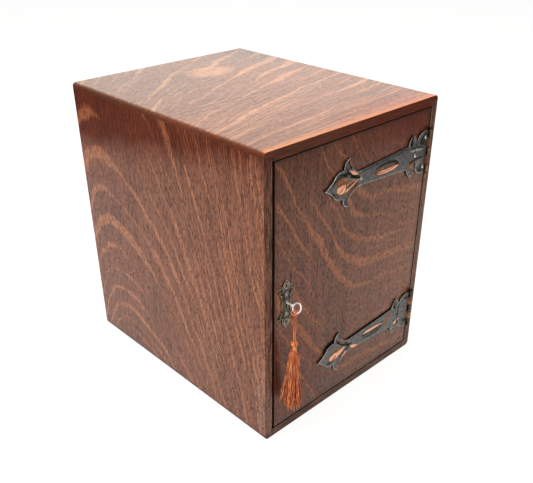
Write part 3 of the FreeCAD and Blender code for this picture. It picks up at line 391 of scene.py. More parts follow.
# Painted top shade is (slope, begin, finish, depth), wear is (axis, place, width, strength, bare wood),
# painted side light is (axis, begin, finish, strength), and a patch or a painted light oval is a middle and
# half sizes, with the oval's tint and how it is laid on.
left_oak = oak(
    "fumed oak, left side", 2, 0, side_figure, RED_STAIN, 1.7, SIDE_LINES, shine=0.44, inside=1.0, sway=18.0,
    painted_top_shade=((0.0, 0.186, 1.0), 312.0, 350.0, 0.85), wear=(1, FRONT_EDGE, 1.6, 0.6, "#a8512b"), foot=0.5,
    painted_light_ovals=(((-CASE_SIDE, -183.0, 50.0), (34.0, 24.0, 130.0), "#66524a", "SCREEN"),))
right_oak = oak(
    "fumed oak, right side", 2, 0, side_figure, RED_STAIN, 14.2, SIDE_LINES, inside=-1.0,
    painted_light_ovals=(((CASE_SIDE, -183.0, 180.0), (34.0, 24.0, 240.0), "#5c463c", "SCREEN"),))
top_oak = oak(
    "fumed oak, top", 0, 2, top_figure, TOP_STAIN, 4.4, TOP_LINES, shine=0.34, inside=-1.0,
    wear=(1, FRONT_EDGE, 13.0, 0.6, "#d98f5e"), open_grain=0.6, amber="#ffffff", sway=18.0,
    patch=((18.0, 101.0, CASE_TOP), (40.0, 27.0, THROUGH)),
    painted_light_ovals=(((-CASE_SIDE, 182.0, CASE_TOP), (260.0, 280.0, THROUGH), "#d8eaf0", "MULTIPLY"),
           ((-140.0, -150.0, CASE_TOP), (110.0, 100.0, THROUGH), "#eae5e2", "MULTIPLY"),
           ((CASE_SIDE, 182.0, CASE_TOP), (150.0, 150.0, THROUGH), "#c6d8e0", "MULTIPLY"),
           ((80.0, -180.0, CASE_TOP), (190.0, 66.0, THROUGH), "#ffc088", "MULTIPLY")))
bottom_oak = oak("fumed oak, bottom", 0, 2, top_figure, RED_STAIN, 8.1, DOOR_LINES, inside=1.0)
door_oak = oak(
    "fumed oak, door", 2, 1, door_figure, DOOR_STAIN, 2.9, DOOR_LINES, shine=0.4, border=True,
    painted_top_shade=((0.0, 0.0, 1.0), 290.0, 380.0, 0.4), strap=LOWER_HINGE, painted_side_light=(0, -20.0, 120.0, 0.3),
    painted_light_ovals=(((-112.0, -182.0, 80.0), (75.0, THROUGH, 125.0), "#ffd2a4", "MULTIPLY"),
           ((60.0, -182.0, 362.0), (130.0, THROUGH, 48.0), "#ffd2a4", "MULTIPLY"),
           ((115.0, -182.0, 368.0), (85.0, THROUGH, 60.0), "#d4a47e", "MULTIPLY"),
           ((70.0, -182.0, 165.0), (160.0, THROUGH, 150.0), "#36221a", "SCREEN")))
inner_oak = oak("oiled oak, inside", 0, 2, plain_figure, OILED, 6.6, DOOR_LINES, amount=0.4, rough=0.5)
back_oak = oak("oiled oak, back", 2, 1, plain_figure, OILED, 9.4, DOOR_LINES, amount=0.4, rough=0.55)
for node, finish in (
        ("left_side", left_oak), ("right_side", right_oak), ("top_board", top_oak),
        ("bottom_board", bottom_oak), ("door_panel", door_oak), ("back_panel", back_oak),
        ("shelf", inner_oak), ("shelf_cleats", inner_oak), ("door_stops", inner_oak)):
    dress(node, finish)


def metal(name, colours, rough, grain):
    """Plain metal with a mottled tarnish: two tones in soft patches, dulled where it is darker."""
    material, tree = new_material(name)
    spot = add(tree, "TexCoord", out="Object")
    patch = add(tree, "TexNoise", {
        "Vector": spot, "Scale": 1.0 / (grain * MM), "Detail": 4.0, "Roughness": 0.6})
    share = add(tree, "MapRange", {0: patch, 1: 0.38, 2: 0.66})
    dark, pale = [linear(code) for code in colours]
    colour = add(tree, "Mix", {0: share, 6: dark, 7: pale}, out=2, data_type="RGBA")
    gloss = add(tree, "MapRange", {0: share, 3: rough[0], 4: rough[1]})
    bump = add(tree, "Bump", {"Strength": 0.2, "Distance": 0.1 * MM, "Height": patch})
    shader = add(tree, "BsdfPrincipled", {
        "Base Color": colour, "Metallic": 1.0, "Roughness": gloss, "Normal": bump})
    add(tree, "OutputMaterial", {"Surface": shader})
    return material


# Copper gone dark grey with age, with a dull shine.
patina = metal("patinated copper", ("#3c3a36", "#58534d"), (0.5, 0.38), 6.0)
# Copper browned by handling, a little redder where it is pale.
brown = metal("brown copper", ("#5b4a3f", "#8a6a56"), (0.45, 0.36), 4.0)
# Bronze gone dark brown, a little brighter in patches.
bronze = metal("dark bronze", ("#3a332c", "#6a5c4c"), (0.45, 0.32), 2.5)
# Rolled brass that air has dulled in spots.
brass = metal("aged brass", ("#8a6a35", "#d8b878"), (0.35, 0.22), 2.0)
# Polished steel that use has made matt: pale from every side.
steel = metal("bright steel", ("#ecebe8", "#fdfcfa"), (0.6, 0.5), 4.0)
# Domed copper heads, painted pale as a highlight.
nail_highlight = metal("worn copper nails", ("#8d8a80", "#d6d2c6"), (0.4, 0.3), 2.5)
for node, finish in (
        ("upper_frame_leaf", brown), ("lower_frame_leaf", bronze),
        ("upper_strap_nails", nail_highlight), ("lower_strap_nails", bronze),
        ("upper_hinge_pin", patina), ("lower_hinge_pin", patina), ("frame_leaf_screws", brass),
        ("escutcheon_pins", nail_highlight), ("lock_plate", brass), ("lock_case", brass),
        ("lock_screws", brass), ("lock_stud", steel), ("lock_bolt", brass), ("bolt_spring", steel),
        ("strike_plate", brass), ("strike_screws", brass), ("cleat_screws", steel), ("back_pins", steel),
        ("key", steel)):
    dress(node, finish)


def silk_finish(name, colours, by_thread=False):
    """Dyed silk floss: smooth fibres with a bright sheen, each lock or ply a different orange."""
    material, tree = new_material(name)
    if by_thread:
        share = add(tree, "Attribute", out="Fac", attribute_name="tone")
    else:
        spot = add(tree, "TexCoord", out="Object")
        scale = (1.0 / (1.1 * MM), 1.0 / (1.1 * MM), 1.0 / (30.0 * MM))
        place = add(tree, "Mapping", {"Vector": spot, "Scale": scale})
        patch = add(tree, "TexNoise", {"Vector": place, "Scale": 1.0, "Detail": 2.0})
        share = add(tree, "MapRange", {0: patch, 1: 0.35, 2: 0.65})
    dark, middle, pale = [linear(code) for code in colours]
    deep = add(tree, "MapRange", {0: share, 1: 0.0, 2: 0.5})
    lit = add(tree, "MapRange", {0: share, 1: 0.5, 2: 1.0})
    colour = add(tree, "Mix", {0: deep, 6: dark, 7: middle}, out=2, data_type="RGBA")
    colour = add(tree, "Mix", {0: lit, 6: colour, 7: pale}, out=2, data_type="RGBA")
    shader = add(tree, "BsdfPrincipled", {
        "Base Color": colour, "Roughness": 0.3, "Specular IOR Level": 0.35, "Sheen Weight": 0.2,
        "Sheen Roughness": 0.4, "Sheen Tint": linear("#ffb070")})
    add(tree, "OutputMaterial", {"Surface": shader})
    return material


# Plied cord; binding thread painted paler, as a highlight on the head's bands; and loose floss, whose darker
# threads are painted shade between the paler ones.
silk = silk_finish("orange silk cord", ("#a03a0e", "#d8682a", "#ffb478"))
binding_silk = silk_finish("orange silk binding", ("#b84c14", "#f08a40", "#ffdca8"))
skirt_silk = silk_finish("orange silk floss", ("#681e08", "#bc4d1e", "#ffb27c"), by_thread=True)


def piece(name, mesh, body, replaced, material):
    """Make an object of a mesh that lies in place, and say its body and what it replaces."""
    made = bpy.data.objects.new(name, mesh)
    bpy.context.scene.collection.objects.link(made)
    mesh.materials.clear()
    mesh.materials.append(material)
    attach(made, body)
    if replaced:
        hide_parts(*replaced)
    return made


def fine_copy(node, voxel, rounds):
    """A model node's shape with close, even faces and softened edges."""
    shape = bmesh.new()
    shape.from_mesh(nodes[node].data)
    bmesh.ops.remove_doubles(shape, verts=shape.verts, dist=0.01 * MM)
    mesh = bpy.data.meshes.new(node + "_relief")
    shape.to_mesh(mesh)
    shape.free()
    made = bpy.data.objects.new(node + "_relief", mesh)
    bpy.context.scene.collection.objects.link(made)
    remesh = made.modifiers.new("remesh", "REMESH")
    remesh.mode = "VOXEL"
    remesh.voxel_size = voxel * MM
    remesh.use_smooth_shade = True
    soften = made.modifiers.new("soften", "SMOOTH")
    soften.factor = 0.5
    soften.iterations = rounds
    fine = bpy.data.meshes.new_from_object(made.evaluated_get(bpy.context.evaluated_depsgraph_get()))
    bpy.data.objects.remove(made)
    return fine


def read_points(mesh):
    """Places in millimetres, normals, and how far each point stands proud of its neighbours."""
    count = len(mesh.vertices)
    spots, normals = np.empty(count * 3), np.empty(count * 3)
    ends = np.empty(len(mesh.edges) * 2, dtype=np.int64)
    mesh.vertices.foreach_get("co", spots)
    mesh.vertex_normals.foreach_get("vector", normals)
    mesh.edges.foreach_get("vertices", ends)
    spots, normals, ends = spots.reshape(-1, 3) / MM, normals.reshape(-1, 3), ends.reshape(-1, 2)

    def around(values):
        total, near = np.zeros_like(values), np.zeros(count)
        for a, b in ((0, 1), (1, 0)):
            np.add.at(total, ends[:, a], values[ends[:, b]])
            np.add.at(near, ends[:, a], 1.0)
        return total / np.maximum(near, 1.0).reshape((-1,) + (1,) * (values.ndim - 1))

    proud = ((spots - around(spots)) * normals).sum(axis=1)
    for _ in range(3):
        proud = 0.5 * proud + 0.5 * around(proud)
    return spots, normals, proud


def near_line(reach, high, line):
    """From 1 on a drawn line to 0 at its half width: the line is (reach, height, half width) points."""
    line = np.array(line)
    place = np.linspace(0, len(line) - 1, 12 * (len(line) - 1) + 1)
    steps = [np.interp(place, range(len(line)), line[:, k]) for k in range(3)]
    best = np.zeros_like(reach)
    for r, h, w in zip(*steps):
        best = np.maximum(best, 1.0 - ((reach - r) ** 2 + (high - h) ** 2) / w ** 2)
    return best


def in_oval(reach, high, at, half):
    """From 1 in the middle of an oval to 0 at its edge."""
    return np.maximum(0.0, 1.0 - ((reach - at[0]) / half[0]) ** 2 - ((high - at[1]) / half[1]) ** 2)


def write_attribute(mesh, name, values):
    made = mesh.attributes.new(name, "FLOAT", "POINT")
    made.data.foreach_set("value", np.clip(values, 0.0, 1.0).astype(np.float32))


# Relief of the strap hinges, in millimetres from the pin along the strap and from its middle line.
PETAL_TROUGH = [(138, 5.2, 1.2), (145, 9.2, 2.8), (150.5, 15.5, 4.0), (153.3, 22.0, 3.6), (154, 27.5, 1.6)]
PETAL_CREASE = [(134.5, 1.8, 0.8), (143, 4.4, 1.1), (150.5, 9.2, 1.3), (156.5, 14.5, 1.4), (160.8, 20.5, 1.2)]
LOW_TROUGH = [(136.5, 5.0, 1.2), (143, 8.6, 2.4), (150.5, 13.6, 3.0), (157, 19.0, 2.6), (159, 23.0, 1.8)]
ROOT_CREASE = [(27.2, 4.0, 1.1), (27.6, 9.0, 1.4), (26.0, 14.5, 1.6)]
BULB_NECK = [(138.5, 0, 0.9), (148, 0, 3.2), (159, 0, 7.4)]
ROOT_RIDGE = [(38, 9.0, 2.0), (27, 7.6, 3.4), (15, 6.4, 2.4)]
ROOT_LOBES = (((14.5, 18.0), (7.0, 7.0)), ((35.0, 20.0), (4.6, 6.6)))
BULB_REACH, BULB_HALF = 171.5, (13.2, 11.6)
EYE_REACH, EYE_LONG, FULL_EYE = 84.3, 24.4, 7.6
# Plain bar between root and petals: its ends, and its half width at the root, which falls along its length.
BAR_ENDS = (44.0, 131.0)
BAR_ROOT, BAR_LONG, BAR_HALF, BAR_FALL = 43.5, 89.5, 15.0, 5.6
KNUCKLE_REACH = 4.5
DEEPEST_BEATEN = 1.7

# Bare and half-bare copper, partly rubbed and partly painted highlight in the lower half of each hollow;
# black, for dirt in creases and painted shade in the upper half of each hollow; and pale edges and rims,
# painted highlights; each strap's as lines of (reach, rise, half width).
UPPER_MARKS = {
    "bright": [
        [(137, -0.4, 1.0), (148, -2.6, 3.4), (158, -5.4, 5.6), (168, -6.0, 6.0)],
        [(62, -3.4, 1.2), (72, -4.8, 2.2), (84.3, -5.4, 2.6), (97, -4.8, 2.2), (107, -3.2, 1.2)],
        [(139, 6.6, 1.6), (146, 9.4, 3.0), (152, 12.6, 2.2)]],
    "brown": [
        [(158, 3.0, 5.0), (169, 3.6, 6.0)],
        [(64, -1.6, 2.2), (84.3, -1.8, 3.2), (105, -1.2, 2.2)],
        [(137, -5.2, 1.6), (143, -8.8, 2.6), (150, -13.4, 3.2), (157, -19.0, 2.6)],
        [(35, -8.0, 5.0), (33, -15.0, 5.0)]],
    "black": [
        [(62, 0.6, 1.6), (72, 4.4, 3.0), (84.3, 5.6, 3.4), (97, 4.4, 3.0), (107, 0.8, 1.6)],
        [(152, 12.5, 2.2), (162, 11.8, 3.4), (174, 9.4, 3.8), (181, 4.4, 3.2)],
        [(149, 18.0, 3.0), (153.4, 26.0, 3.2)],
        [(36, 16.0, 3.6), (35, 24.0, 3.4)],
        [(16, 17.0, 2.4), (11, 23.5, 2.4)],
        [(139, 2.6, 1.6), (152, 6.8, 2.0)],
        [(140, -3.6, 0.8), (152, -10.2, 1.0), (160, -16.5, 1.0)]],
    "pale": [
        [(134, -8.2, 1.6), (140, -12.0, 2.2), (145.5, -17.5, 2.4), (150, -24.5, 2.0)],
        [(134, 8.6, 1.2), (141, 13.0, 1.6), (146, 21.0, 1.5)],
        [(38, 9.0, 1.6), (27, 7.6, 2.6), (15, 6.4, 1.8)],
        [(34, -21.0, 2.8), (34.4, -25.0, 2.0)],
        [(18, -10.5, 1.6), (24, -15.0, 1.6)]]}
LOWER_MARKS = {
    "bright": [
        [(142, 1.2, 1.0), (150, -1.8, 3.2), (159, -4.6, 5.0), (167, -7.0, 4.6)],
        [(62, -0.4, 1.2), (72, 0.4, 2.2), (84.3, 0.8, 2.6), (98, 1.6, 2.2), (106.5, 2.6, 1.2)],
        [(130, -3.4, 1.4), (125, -6.4, 3.4), (116, -9.4, 1.6)],
        [(138.5, -8.0, 1.2), (144, -12.5, 1.8), (149.5, -18.5, 1.3)],
        [(25, -8.0, 1.4), (31, -10.5, 2.8), (36, -16.0, 2.6)]],
    "brown": [
        [(47, 9.0, 4.0), (56, -1.0, 5.0)],
        [(140, 7.6, 1.8), (149, 13.0, 3.0)],
        [(150, 3.0, 3.0), (160, 2.0, 4.0)]],
    "black": [
        [(62, 3.4, 1.4), (84.3, 5.0, 1.8), (106, 6.0, 1.4)],
        [(138, -3.2, 1.6), (152, -9.8, 1.8)],
        [(131, 0.0, 3.0), (135, -0.6, 4.0)],
        [(149, 19.0, 2.4), (153.4, 26.0, 2.4)],
        [(36, 17.0, 2.4), (35, 24.0, 2.4)]],
    "pale": [
        [(135, -8.6, 1.2), (141, -13.4, 1.4), (150, -25.0, 1.6)],
        [(34, -21.0, 2.4), (34.4, -25.0, 2.0)]]}


def strap_relief(node, level, marks, eye_half, bulb_deep, knuckle_rub):
    """Strap beaten into hollow petals and a hollow bulb, with creases between them; bare copper in the lower
    half of each hollow, partly rubbed and partly painted highlight, and black in the upper half as painted
    shade."""
    mesh = fine_copy(node, 0.48, 4)
    spots, normals, proud = read_points(mesh)
    reach, rise = PIN_X - spots[:, 0], spots[:, 2] - level
    high = np.abs(rise)
    front = np.clip((-normals[:, 1] - 0.15) / 0.4, 0.0, 1.0) * (reach > 5.0)
    upper = rise > 0.0
    trough = np.where(upper, near_line(reach, high, PETAL_TROUGH), near_line(reach, high, LOW_TROUGH))
    crease = np.maximum(near_line(reach, high, PETAL_CREASE) * upper, near_line(reach, high, ROOT_CREASE))
    neck = near_line(reach, high, BULB_NECK) * min(1.0, bulb_deep)
    ridge = near_line(reach, high, ROOT_RIDGE)
    lobe = sum(in_oval(reach, high, at, half) for at, half in ROOT_LOBES)
    on_bar = (reach > BAR_ENDS[0]) * (reach < BAR_ENDS[1])
    bar_half = BAR_HALF - (reach - BAR_ROOT) * BAR_FALL / BAR_LONG
    edge = np.clip(high / bar_half, 0.0, 1.0) ** 6 * on_bar
    bowl = in_oval(reach, high, (BULB_REACH, 0), BULB_HALF)
    eye = in_oval(reach, rise, (EYE_REACH, 0.15 * (FULL_EYE - eye_half)), (EYE_LONG, eye_half))
    steep = [np.minimum(1.0, 2.6 * hollow) for hollow in (bowl, eye, trough)]
    from_bulb = np.sqrt(((reach - BULB_REACH) / BULB_HALF[0]) ** 2 + (high / BULB_HALF[1]) ** 2)
    lip = np.exp(-((from_bulb - 1.12) / 0.1) ** 2)
    sunk = bulb_deep * steep[0] + 1.3 * steep[1] + 1.3 * steep[2] + 1.1 * np.sqrt(crease)
    sunk += 0.9 * neck + 0.9 * lobe
    sunk += 0.5 * edge - 0.45 * lip * (1.0 - np.sqrt(crease)) * (1.0 - neck) - 0.5 * ridge
    # The deepest hollow still leaves metal in front of the door's face.
    beaten = spots[:, 1] + np.minimum(sunk, DEEPEST_BEATEN) * front
    spots[:, 1] = np.minimum(beaten, np.maximum(spots[:, 1], STRAP_FLOOR))
    mesh.vertices.foreach_set("co", (spots * MM).ravel())

    drawn = {}
    for word, lines in marks.items():
        drawn[word] = np.max([near_line(reach, rise, line) for line in lines], axis=0) * front
    knuckle = reach < KNUCKLE_REACH
    wall = np.clip((0.45 + normals[:, 1]) / 0.3, 0.0, 1.0) * ~knuckle
    # Bare copper where it is rubbed, and painted highlight in the lower half of each hollow.
    rub_and_highlight = np.maximum(np.minimum(1.0, 1.6 * drawn["bright"]), np.minimum(0.5, 0.9 * drawn["brown"]))
    write_attribute(mesh, "rub_and_highlight", np.maximum(rub_and_highlight, knuckle * knuckle_rub))
    # Pale edges and rims: painted highlights.
    write_attribute(mesh, "pale_highlight", np.maximum(0.9 * drawn["pale"], proud * 18.0 * (front > 0.0)))
    # Black for dirt in the creases, and painted shade in the upper half of each hollow, on the side walls and
    # in hollow spots.
    black = np.minimum(1.0, 1.5 * drawn["black"]) * (1.0 - rub_and_highlight)
    low = np.maximum(wall, -proud * 8.0 * (1.0 - rub_and_highlight))
    write_attribute(mesh, "grime_and_shade", np.maximum(np.maximum(crease * front, black), low))
    mesh.update()
    return mesh


def rubbed_metal_with_painted_light(name, dark, pale, middle, bright, edge, rough):
    """Dark patina with bare metal where it is rubbed and where a highlight is painted in the hollows, pale
    painted highlights on the highest edges, and black for dirt in the creases and for painted shade. Colours
    go from the dark ground to the bare metal and the pale highlit edge."""
    material, tree = new_material(name)
    spot = add(tree, "TexCoord", out="Object")
    rub_and_highlight, pale_highlight, grime_and_shade = [
        add(tree, "Attribute", out="Fac", attribute_name=word) for word in ("rub_and_highlight", "pale_highlight", "grime_and_shade")]
    patch = add(tree, "TexNoise", {
        "Vector": spot, "Scale": 1.0 / (5.0 * MM), "Detail": 5.0, "Roughness": 0.6})
    share = add(tree, "MapRange", {0: patch, 1: 0.35, 2: 0.68})
    ground = add(tree, "Mix", {0: share, 6: linear(dark), 7: linear(pale)}, out=2, data_type="RGBA")
    broken = add(tree, "Math", {0: patch, 1: 0.9, 2: -0.45}, operation="MULTIPLY_ADD")
    open_copper = add(tree, "Math", {0: rub_and_highlight, 1: broken}, operation="ADD")
    half = add(tree, "MapRange", {0: open_copper, 1: 0.15, 2: 0.4})
    bare = add(tree, "MapRange", {0: open_copper, 1: 0.5, 2: 0.9}, interpolation_type="SMOOTHSTEP")
    coppery = add(tree, "Mix", {0: half, 6: ground, 7: linear(middle)}, out=2, data_type="RGBA")
    coppery = add(tree, "Mix", {0: bare, 6: coppery, 7: linear(bright)}, out=2, data_type="RGBA")
    # Pale edges are painted highlights; the black is dirt and painted shade.
    high = add(tree, "MapRange", {0: pale_highlight, 1: 0.25, 2: 0.9, 3: 0.0, 4: 0.85})
    edged = add(tree, "Mix", {0: high, 6: coppery, 7: linear(edge)}, out=2, data_type="RGBA")
    low = add(tree, "MapRange", {0: grime_and_shade, 1: 0.15, 2: 0.7, 3: 0.0, 4: 0.9})
    colour = add(tree, "Mix", {0: low, 6: edged, 7: linear("#14100d")}, out=2, data_type="RGBA")
    gloss = add(tree, "MapRange", {0: bare, 3: rough, 4: rough - 0.1})
    hammered = add(tree, "TexNoise", {"Vector": spot, "Scale": 1.0 / (3.0 * MM), "Detail": 2.0})
    bump = add(tree, "Bump", {"Strength": 0.25, "Distance": 0.2 * MM, "Height": hammered})
    shader = add(tree, "BsdfPrincipled", {
        "Base Color": colour, "Metallic": 1.0, "Roughness": gloss, "Normal": bump})
    add(tree, "OutputMaterial", {"Surface": shader})
    return material


# Beaten copper under a grey patina, pink where it is bare and where a highlight is painted.
strap_finish = rubbed_metal_with_painted_light(
    "patinated copper, rubbed", "#504f4c", "#777471", "#7a5238", "#eaa988", "#b9b8b2", 0.42)
for node, level, marks, eye_half, bulb_deep, knuckle_rub in (
        ("upper_hinge_strap", UPPER_HINGE, UPPER_MARKS, FULL_EYE, 1.3, 0.42),
        ("lower_hinge_strap", LOWER_HINGE, LOWER_MARKS, 4.0, 0.4, 0.58)):
    mesh = strap_relief(node, level, marks, eye_half, bulb_deep, knuckle_rub)
    piece(node + "_relief", mesh, "door", [node], strap_finish)


# Relief of the lock plate, in millimetres from its middle, the same in all four quarters. The rings round the
# pin holes and the bosses have a level, a radius and a rim.
PLATE_VEIN = [(1.0, 11.0, 0.6), (5.5, 14.0, 0.9), (12.0, 17.2, 0.7)]
PLATE_LEAVES = (((6.6, 17.0), (4.6, 2.6)), ((5.6, 8.8), (2.4, 3.4)))
PIN_RING = (24.5, 3.6, 0.8)
BOSS_RING = (13.0, 2.6, 0.7)


def plate_relief(node):
    """Lock plate with softly dished leaves and a raised ring round each hole; its edges and rings painted
    pale as highlights, its side walls and hollow spots painted dark as shade.
    """
    mesh = fine_copy(node, 0.24, 3)
    spots, normals, proud = read_points(mesh)
    front = np.clip((-normals[:, 1] - 0.2) / 0.5, 0.0, 1.0)
    across, high = np.abs(spots[:, 0] - PLATE[0]), np.abs(spots[:, 2] - PLATE[1])
    vein = near_line(across, high, PLATE_VEIN)
    leaf = sum(in_oval(across, high, at, half) for at, half in PLATE_LEAVES)
    ring, boss = [
        np.exp(-((np.hypot(across, high - level) - radius) / rim) ** 2)
        for level, radius, rim in (PIN_RING, BOSS_RING)]
    spots[:, 1] += (0.4 * vein + 0.5 * leaf - 0.35 * ring - 0.3 * boss) * front
    mesh.vertices.foreach_set("co", (spots * MM).ravel())
    write_attribute(mesh, "rub_and_highlight", 0.3 * leaf)
    # Pale painted highlights on the edges, rings and bosses.
    write_attribute(mesh, "pale_highlight", np.maximum(proud * 48.0, np.maximum(0.55 * ring, 0.6 * boss)) * front)
    # Darker in the veins and leaves, and painted shade on the side walls and in hollow spots.
    wall = np.clip((0.45 + normals[:, 1]) / 0.3, 0.0, 1.0)
    low = np.maximum(wall, -proud * 16.0)
    write_attribute(mesh, "grime_and_shade", np.maximum(np.maximum(vein, 0.6 * leaf), low))
    mesh.update()
    return mesh


# Cast bronze, almost black in its hollows and painted dark as shade on its side walls, with pale rims that
# are painted highlights.
plate_finish = rubbed_metal_with_painted_light(
    "dark bronze, worn", "#38332c", "#5a5144", "#6a5d4a", "#9a8a6c", "#f0e8d2", 0.38)
piece("escutcheon_relief", plate_relief("escutcheon"), "door", ["escutcheon"], plate_finish)


def spline_curve(paths, thick, sides, steps):
    """Curve object of smooth lines through control points in millimetres, with a round section."""
    data = bpy.data.curves.new("lines", "CURVE")
    data.dimensions = "3D"
    data.resolution_u = steps
    data.bevel_depth = thick / 2 * MM
    data.bevel_resolution = sides
    data.use_fill_caps = thick > 0
    for path in paths:
        spline = data.splines.new("NURBS")
        spline.points.add(len(path) - 1)
        for point, (x, y, z) in zip(spline.points, path):
            point.co = (x * MM, y * MM, z * MM, 1.0)
        spline.order_u = 3
        spline.use_endpoint_u = True
    return bpy.data.objects.new("lines", data)


def line_mesh(paths, thick, sides=0, steps=3):
    """The same lines as a mesh, smooth shaded."""
    made = spline_curve(paths, thick, sides, steps)
    mesh = bpy.data.meshes.new_from_object(made)
    bpy.data.objects.remove(made)
    for polygon in mesh.polygons:
        polygon.use_smooth = True
    return mesh


# Tassel cord: two strands of two twisted plies each, hanging almost straight from the hitch to the head.
def strand_route(side):
    x, y = HANG_X, HANG_Y + STRAND_SIDE * side
    span = CORD_TOP - CORD_FOOT
    return [
        (x, y, CORD_TOP), (x - 0.15, y + 0.2 * side, CORD_TOP - span * 0.25),
        (x + 0.15, y + 0.4 * side, CORD_TOP - span * 0.5), (x + 0.1, y + 0.2 * side, CORD_TOP - span * 0.75),
        (x, y, CORD_FOOT)]


def centreline(route):
    """Points of the route's own smooth line, in metres."""
    made = spline_curve([route], 0.0, 0, 12)
    mesh = bpy.data.meshes.new_from_object(made)
    bpy.data.objects.remove(made)
    points = [vertex.co.copy() for vertex in mesh.vertices]
    bpy.data.meshes.remove(mesh)
    return points


def twisted(points, thick, turns, start):
    """Two plies wound round a line of points, as control points in millimetres."""
    plies = []
    for ply in (0.0, math.pi):
        path = []
        for i, point in enumerate(points):
            angle = start + ply + turns * 2 * math.pi * i / (len(points) - 1)
            x, y, z = point / MM
            path.append((x + math.cos(angle) * thick * 0.25, y + math.sin(angle) * thick * 0.25, z))
        plies.append(path)
    return plies


for side, word in ((1.0, "back"), (-1.0, "front")):
    points = centreline(strand_route(side))
    mesh = line_mesh(twisted(points, CORD_THICK, 5.0, side), CORD_THICK * 0.56, sides=2, steps=2)
    strand = piece("tassel_cord_" + word, mesh, "tassel", ["tassel_cord"], silk)

# Hitch: the doubled cord goes up behind the key's ring, over into it and down in front, and its bight crosses
# below the ring, so that a leg shows as an ear on each side of the cord.
# EAR is how far round the ring a leg goes, in radians.
DOWN = Vector((-math.sin(RING_TILT), 0.0, -math.cos(RING_TILT)))
FRONT = Vector((-math.cos(RING_TILT), 0.0, math.sin(RING_TILT)))
EAR = 0.45


def by_ring(angle, out, ahead):
    """A place beside the ring's wire: round the ring from its lowest point, outwards and to its front."""
    away = DOWN * math.cos(angle) + Vector((0.0, math.sin(angle), 0.0))
    return tuple(Vector(RING) + away * (RING_RADIUS + out) + FRONT * ahead)


leg = [(1.0, 1.9, -2.7), (1.0, -2.9, -2.5), (1.0, -2.9, 2.5), (1.0, 1.6, 3.0), (0.35, 3.4, 2.6)]
hitch_route = [(HANG_X, HANG_Y + STRAND_SIDE, CORD_TOP - 0.6)]
hitch_route += [by_ring(EAR * share, out, ahead) for share, out, ahead in leg]
hitch_route += [(x, 2 * HANG_Y - y, z) for x, y, z in reversed(hitch_route)]
hitch_points = centreline(hitch_route)
mesh = line_mesh(twisted(hitch_points, 1.7, 9.0, 0.0), 1.0, sides=2, steps=1)
hitch = piece("tassel_hitch_loop", mesh, "hitch", ["tassel_hitch"], silk)

# Head: two bound beads, wound with thread round a firm core.
head_mesh = bmesh.new()
head_tall = CORD_FOOT - HEAD_FOOT
profile = [(0.0, 0.0), (2.2, -0.1), (3.4, -0.8), (4.0, -2.4), (3.7, -4.4), (2.6, -6.2), (2.2, -8.2),
           (2.5, -10.2), (3.0, -12.2), (3.2, -14.0), (2.8, -head_tall)]
ring = [head_mesh.verts.new((r, 0.0, z)) for r, z in profile]
edges = [head_mesh.edges.new(pair) for pair in zip(ring, ring[1:])]
bmesh.ops.spin(head_mesh, geom=ring + edges, cent=(0, 0, 0), axis=(0, 0, 1), angle=2 * math.pi,
               steps=28, use_merge=True)
bmesh.ops.remove_doubles(head_mesh, verts=head_mesh.verts, dist=0.001)
bmesh.ops.holes_fill(head_mesh, edges=head_mesh.edges)
bmesh.ops.recalc_face_normals(head_mesh, faces=head_mesh.faces)
bmesh.ops.scale(head_mesh, verts=head_mesh.verts, vec=(MM,) * 3)
bmesh.ops.translate(head_mesh, verts=head_mesh.verts, vec=(HANG_X * MM, HANG_Y * MM, CORD_FOOT * MM))
mesh = bpy.data.meshes.new("tassel_head_core")
head_mesh.to_mesh(mesh)
head_mesh.free()
for polygon in mesh.polygons:
    polygon.use_smooth = True
head_core = piece("tassel_head_core", mesh, "tassel", ["tassel_head"], silk)


def winding(top, foot, radius, bulge, turns):
    """Thread wound round the head between two levels below its top."""
    count = int(turns * 10)
    path = []
    for i in range(count + 1):
        share = i / count
        angle = share * turns * 2 * math.pi
        out = radius + bulge * math.sin(share * math.pi)
        level = CORD_FOOT - top - (foot - top) * share
        path.append((HANG_X + math.cos(angle) * out, HANG_Y + math.sin(angle) * out, level))
    return path


bands = [winding(0.9, 4.6, 3.55, 0.65, 6.0), winding(6.6, 9.8, 2.45, -0.1, 5.0)]
mesh = line_mesh(bands, 0.66, sides=1, steps=3)
head_bands = piece("tassel_head_bands", mesh, "tassel", None, binding_silk)

# Skirt: crimped locks of thin threads that fall from the head, spread at the foot and end unevenly, and a few
# stray threads on the camera's left. The threads are drawn about twice as thick as real floss, so that they
# show at this size. The shape is the skirt's radius by the share of its length, and the crimps are waves in
# radians from head to foot.
SKIRT_SHAPE = (
    (0.0, 3.2), (0.03, 4.8), (0.1, 6.0), (0.2, 6.8), (0.3, 7.2), (0.4, 7.6), (0.5, 8.0),
    (0.6, 8.5), (0.7, 9.1), (0.8, 9.7), (0.88, 10.2), (0.95, 10.5), (1.0, 10.6))
OUT_CRIMP, SIDE_CRIMP = 26.0, 23.0
LOCKS = 44
LOCK_THREADS = 12
LOCK_TURN = 2.399963
STRAYS = 9
LEFTWARD = math.atan2(0.693, -0.721)
ANY_PHASE = (0, 6.28)
draw = random.Random(5)
paths, tones, phases = [], [], []


def add_thread(angle, depth, foot, wave, phase, sway, stray, tone):
    path = []
    for share, radius in SKIRT_SHAPE:
        crimp = wave * (0.3 + share) * math.sin(phase + share * OUT_CRIMP)
        out = radius * depth + crimp + stray * share ** 1.5
        turn = angle + sway * share + 0.1 * (0.3 + share) * math.sin(phase * 1.7 + share * SIDE_CRIMP)
        z = HEAD_FOOT + 1.0 - (HEAD_FOOT + 1.0 - foot) * share
        path.append((HANG_X + math.cos(turn) * out, HANG_Y + math.sin(turn) * out, z))
    paths.append(path)
    tones.append(tone)
    phases.append(phase)


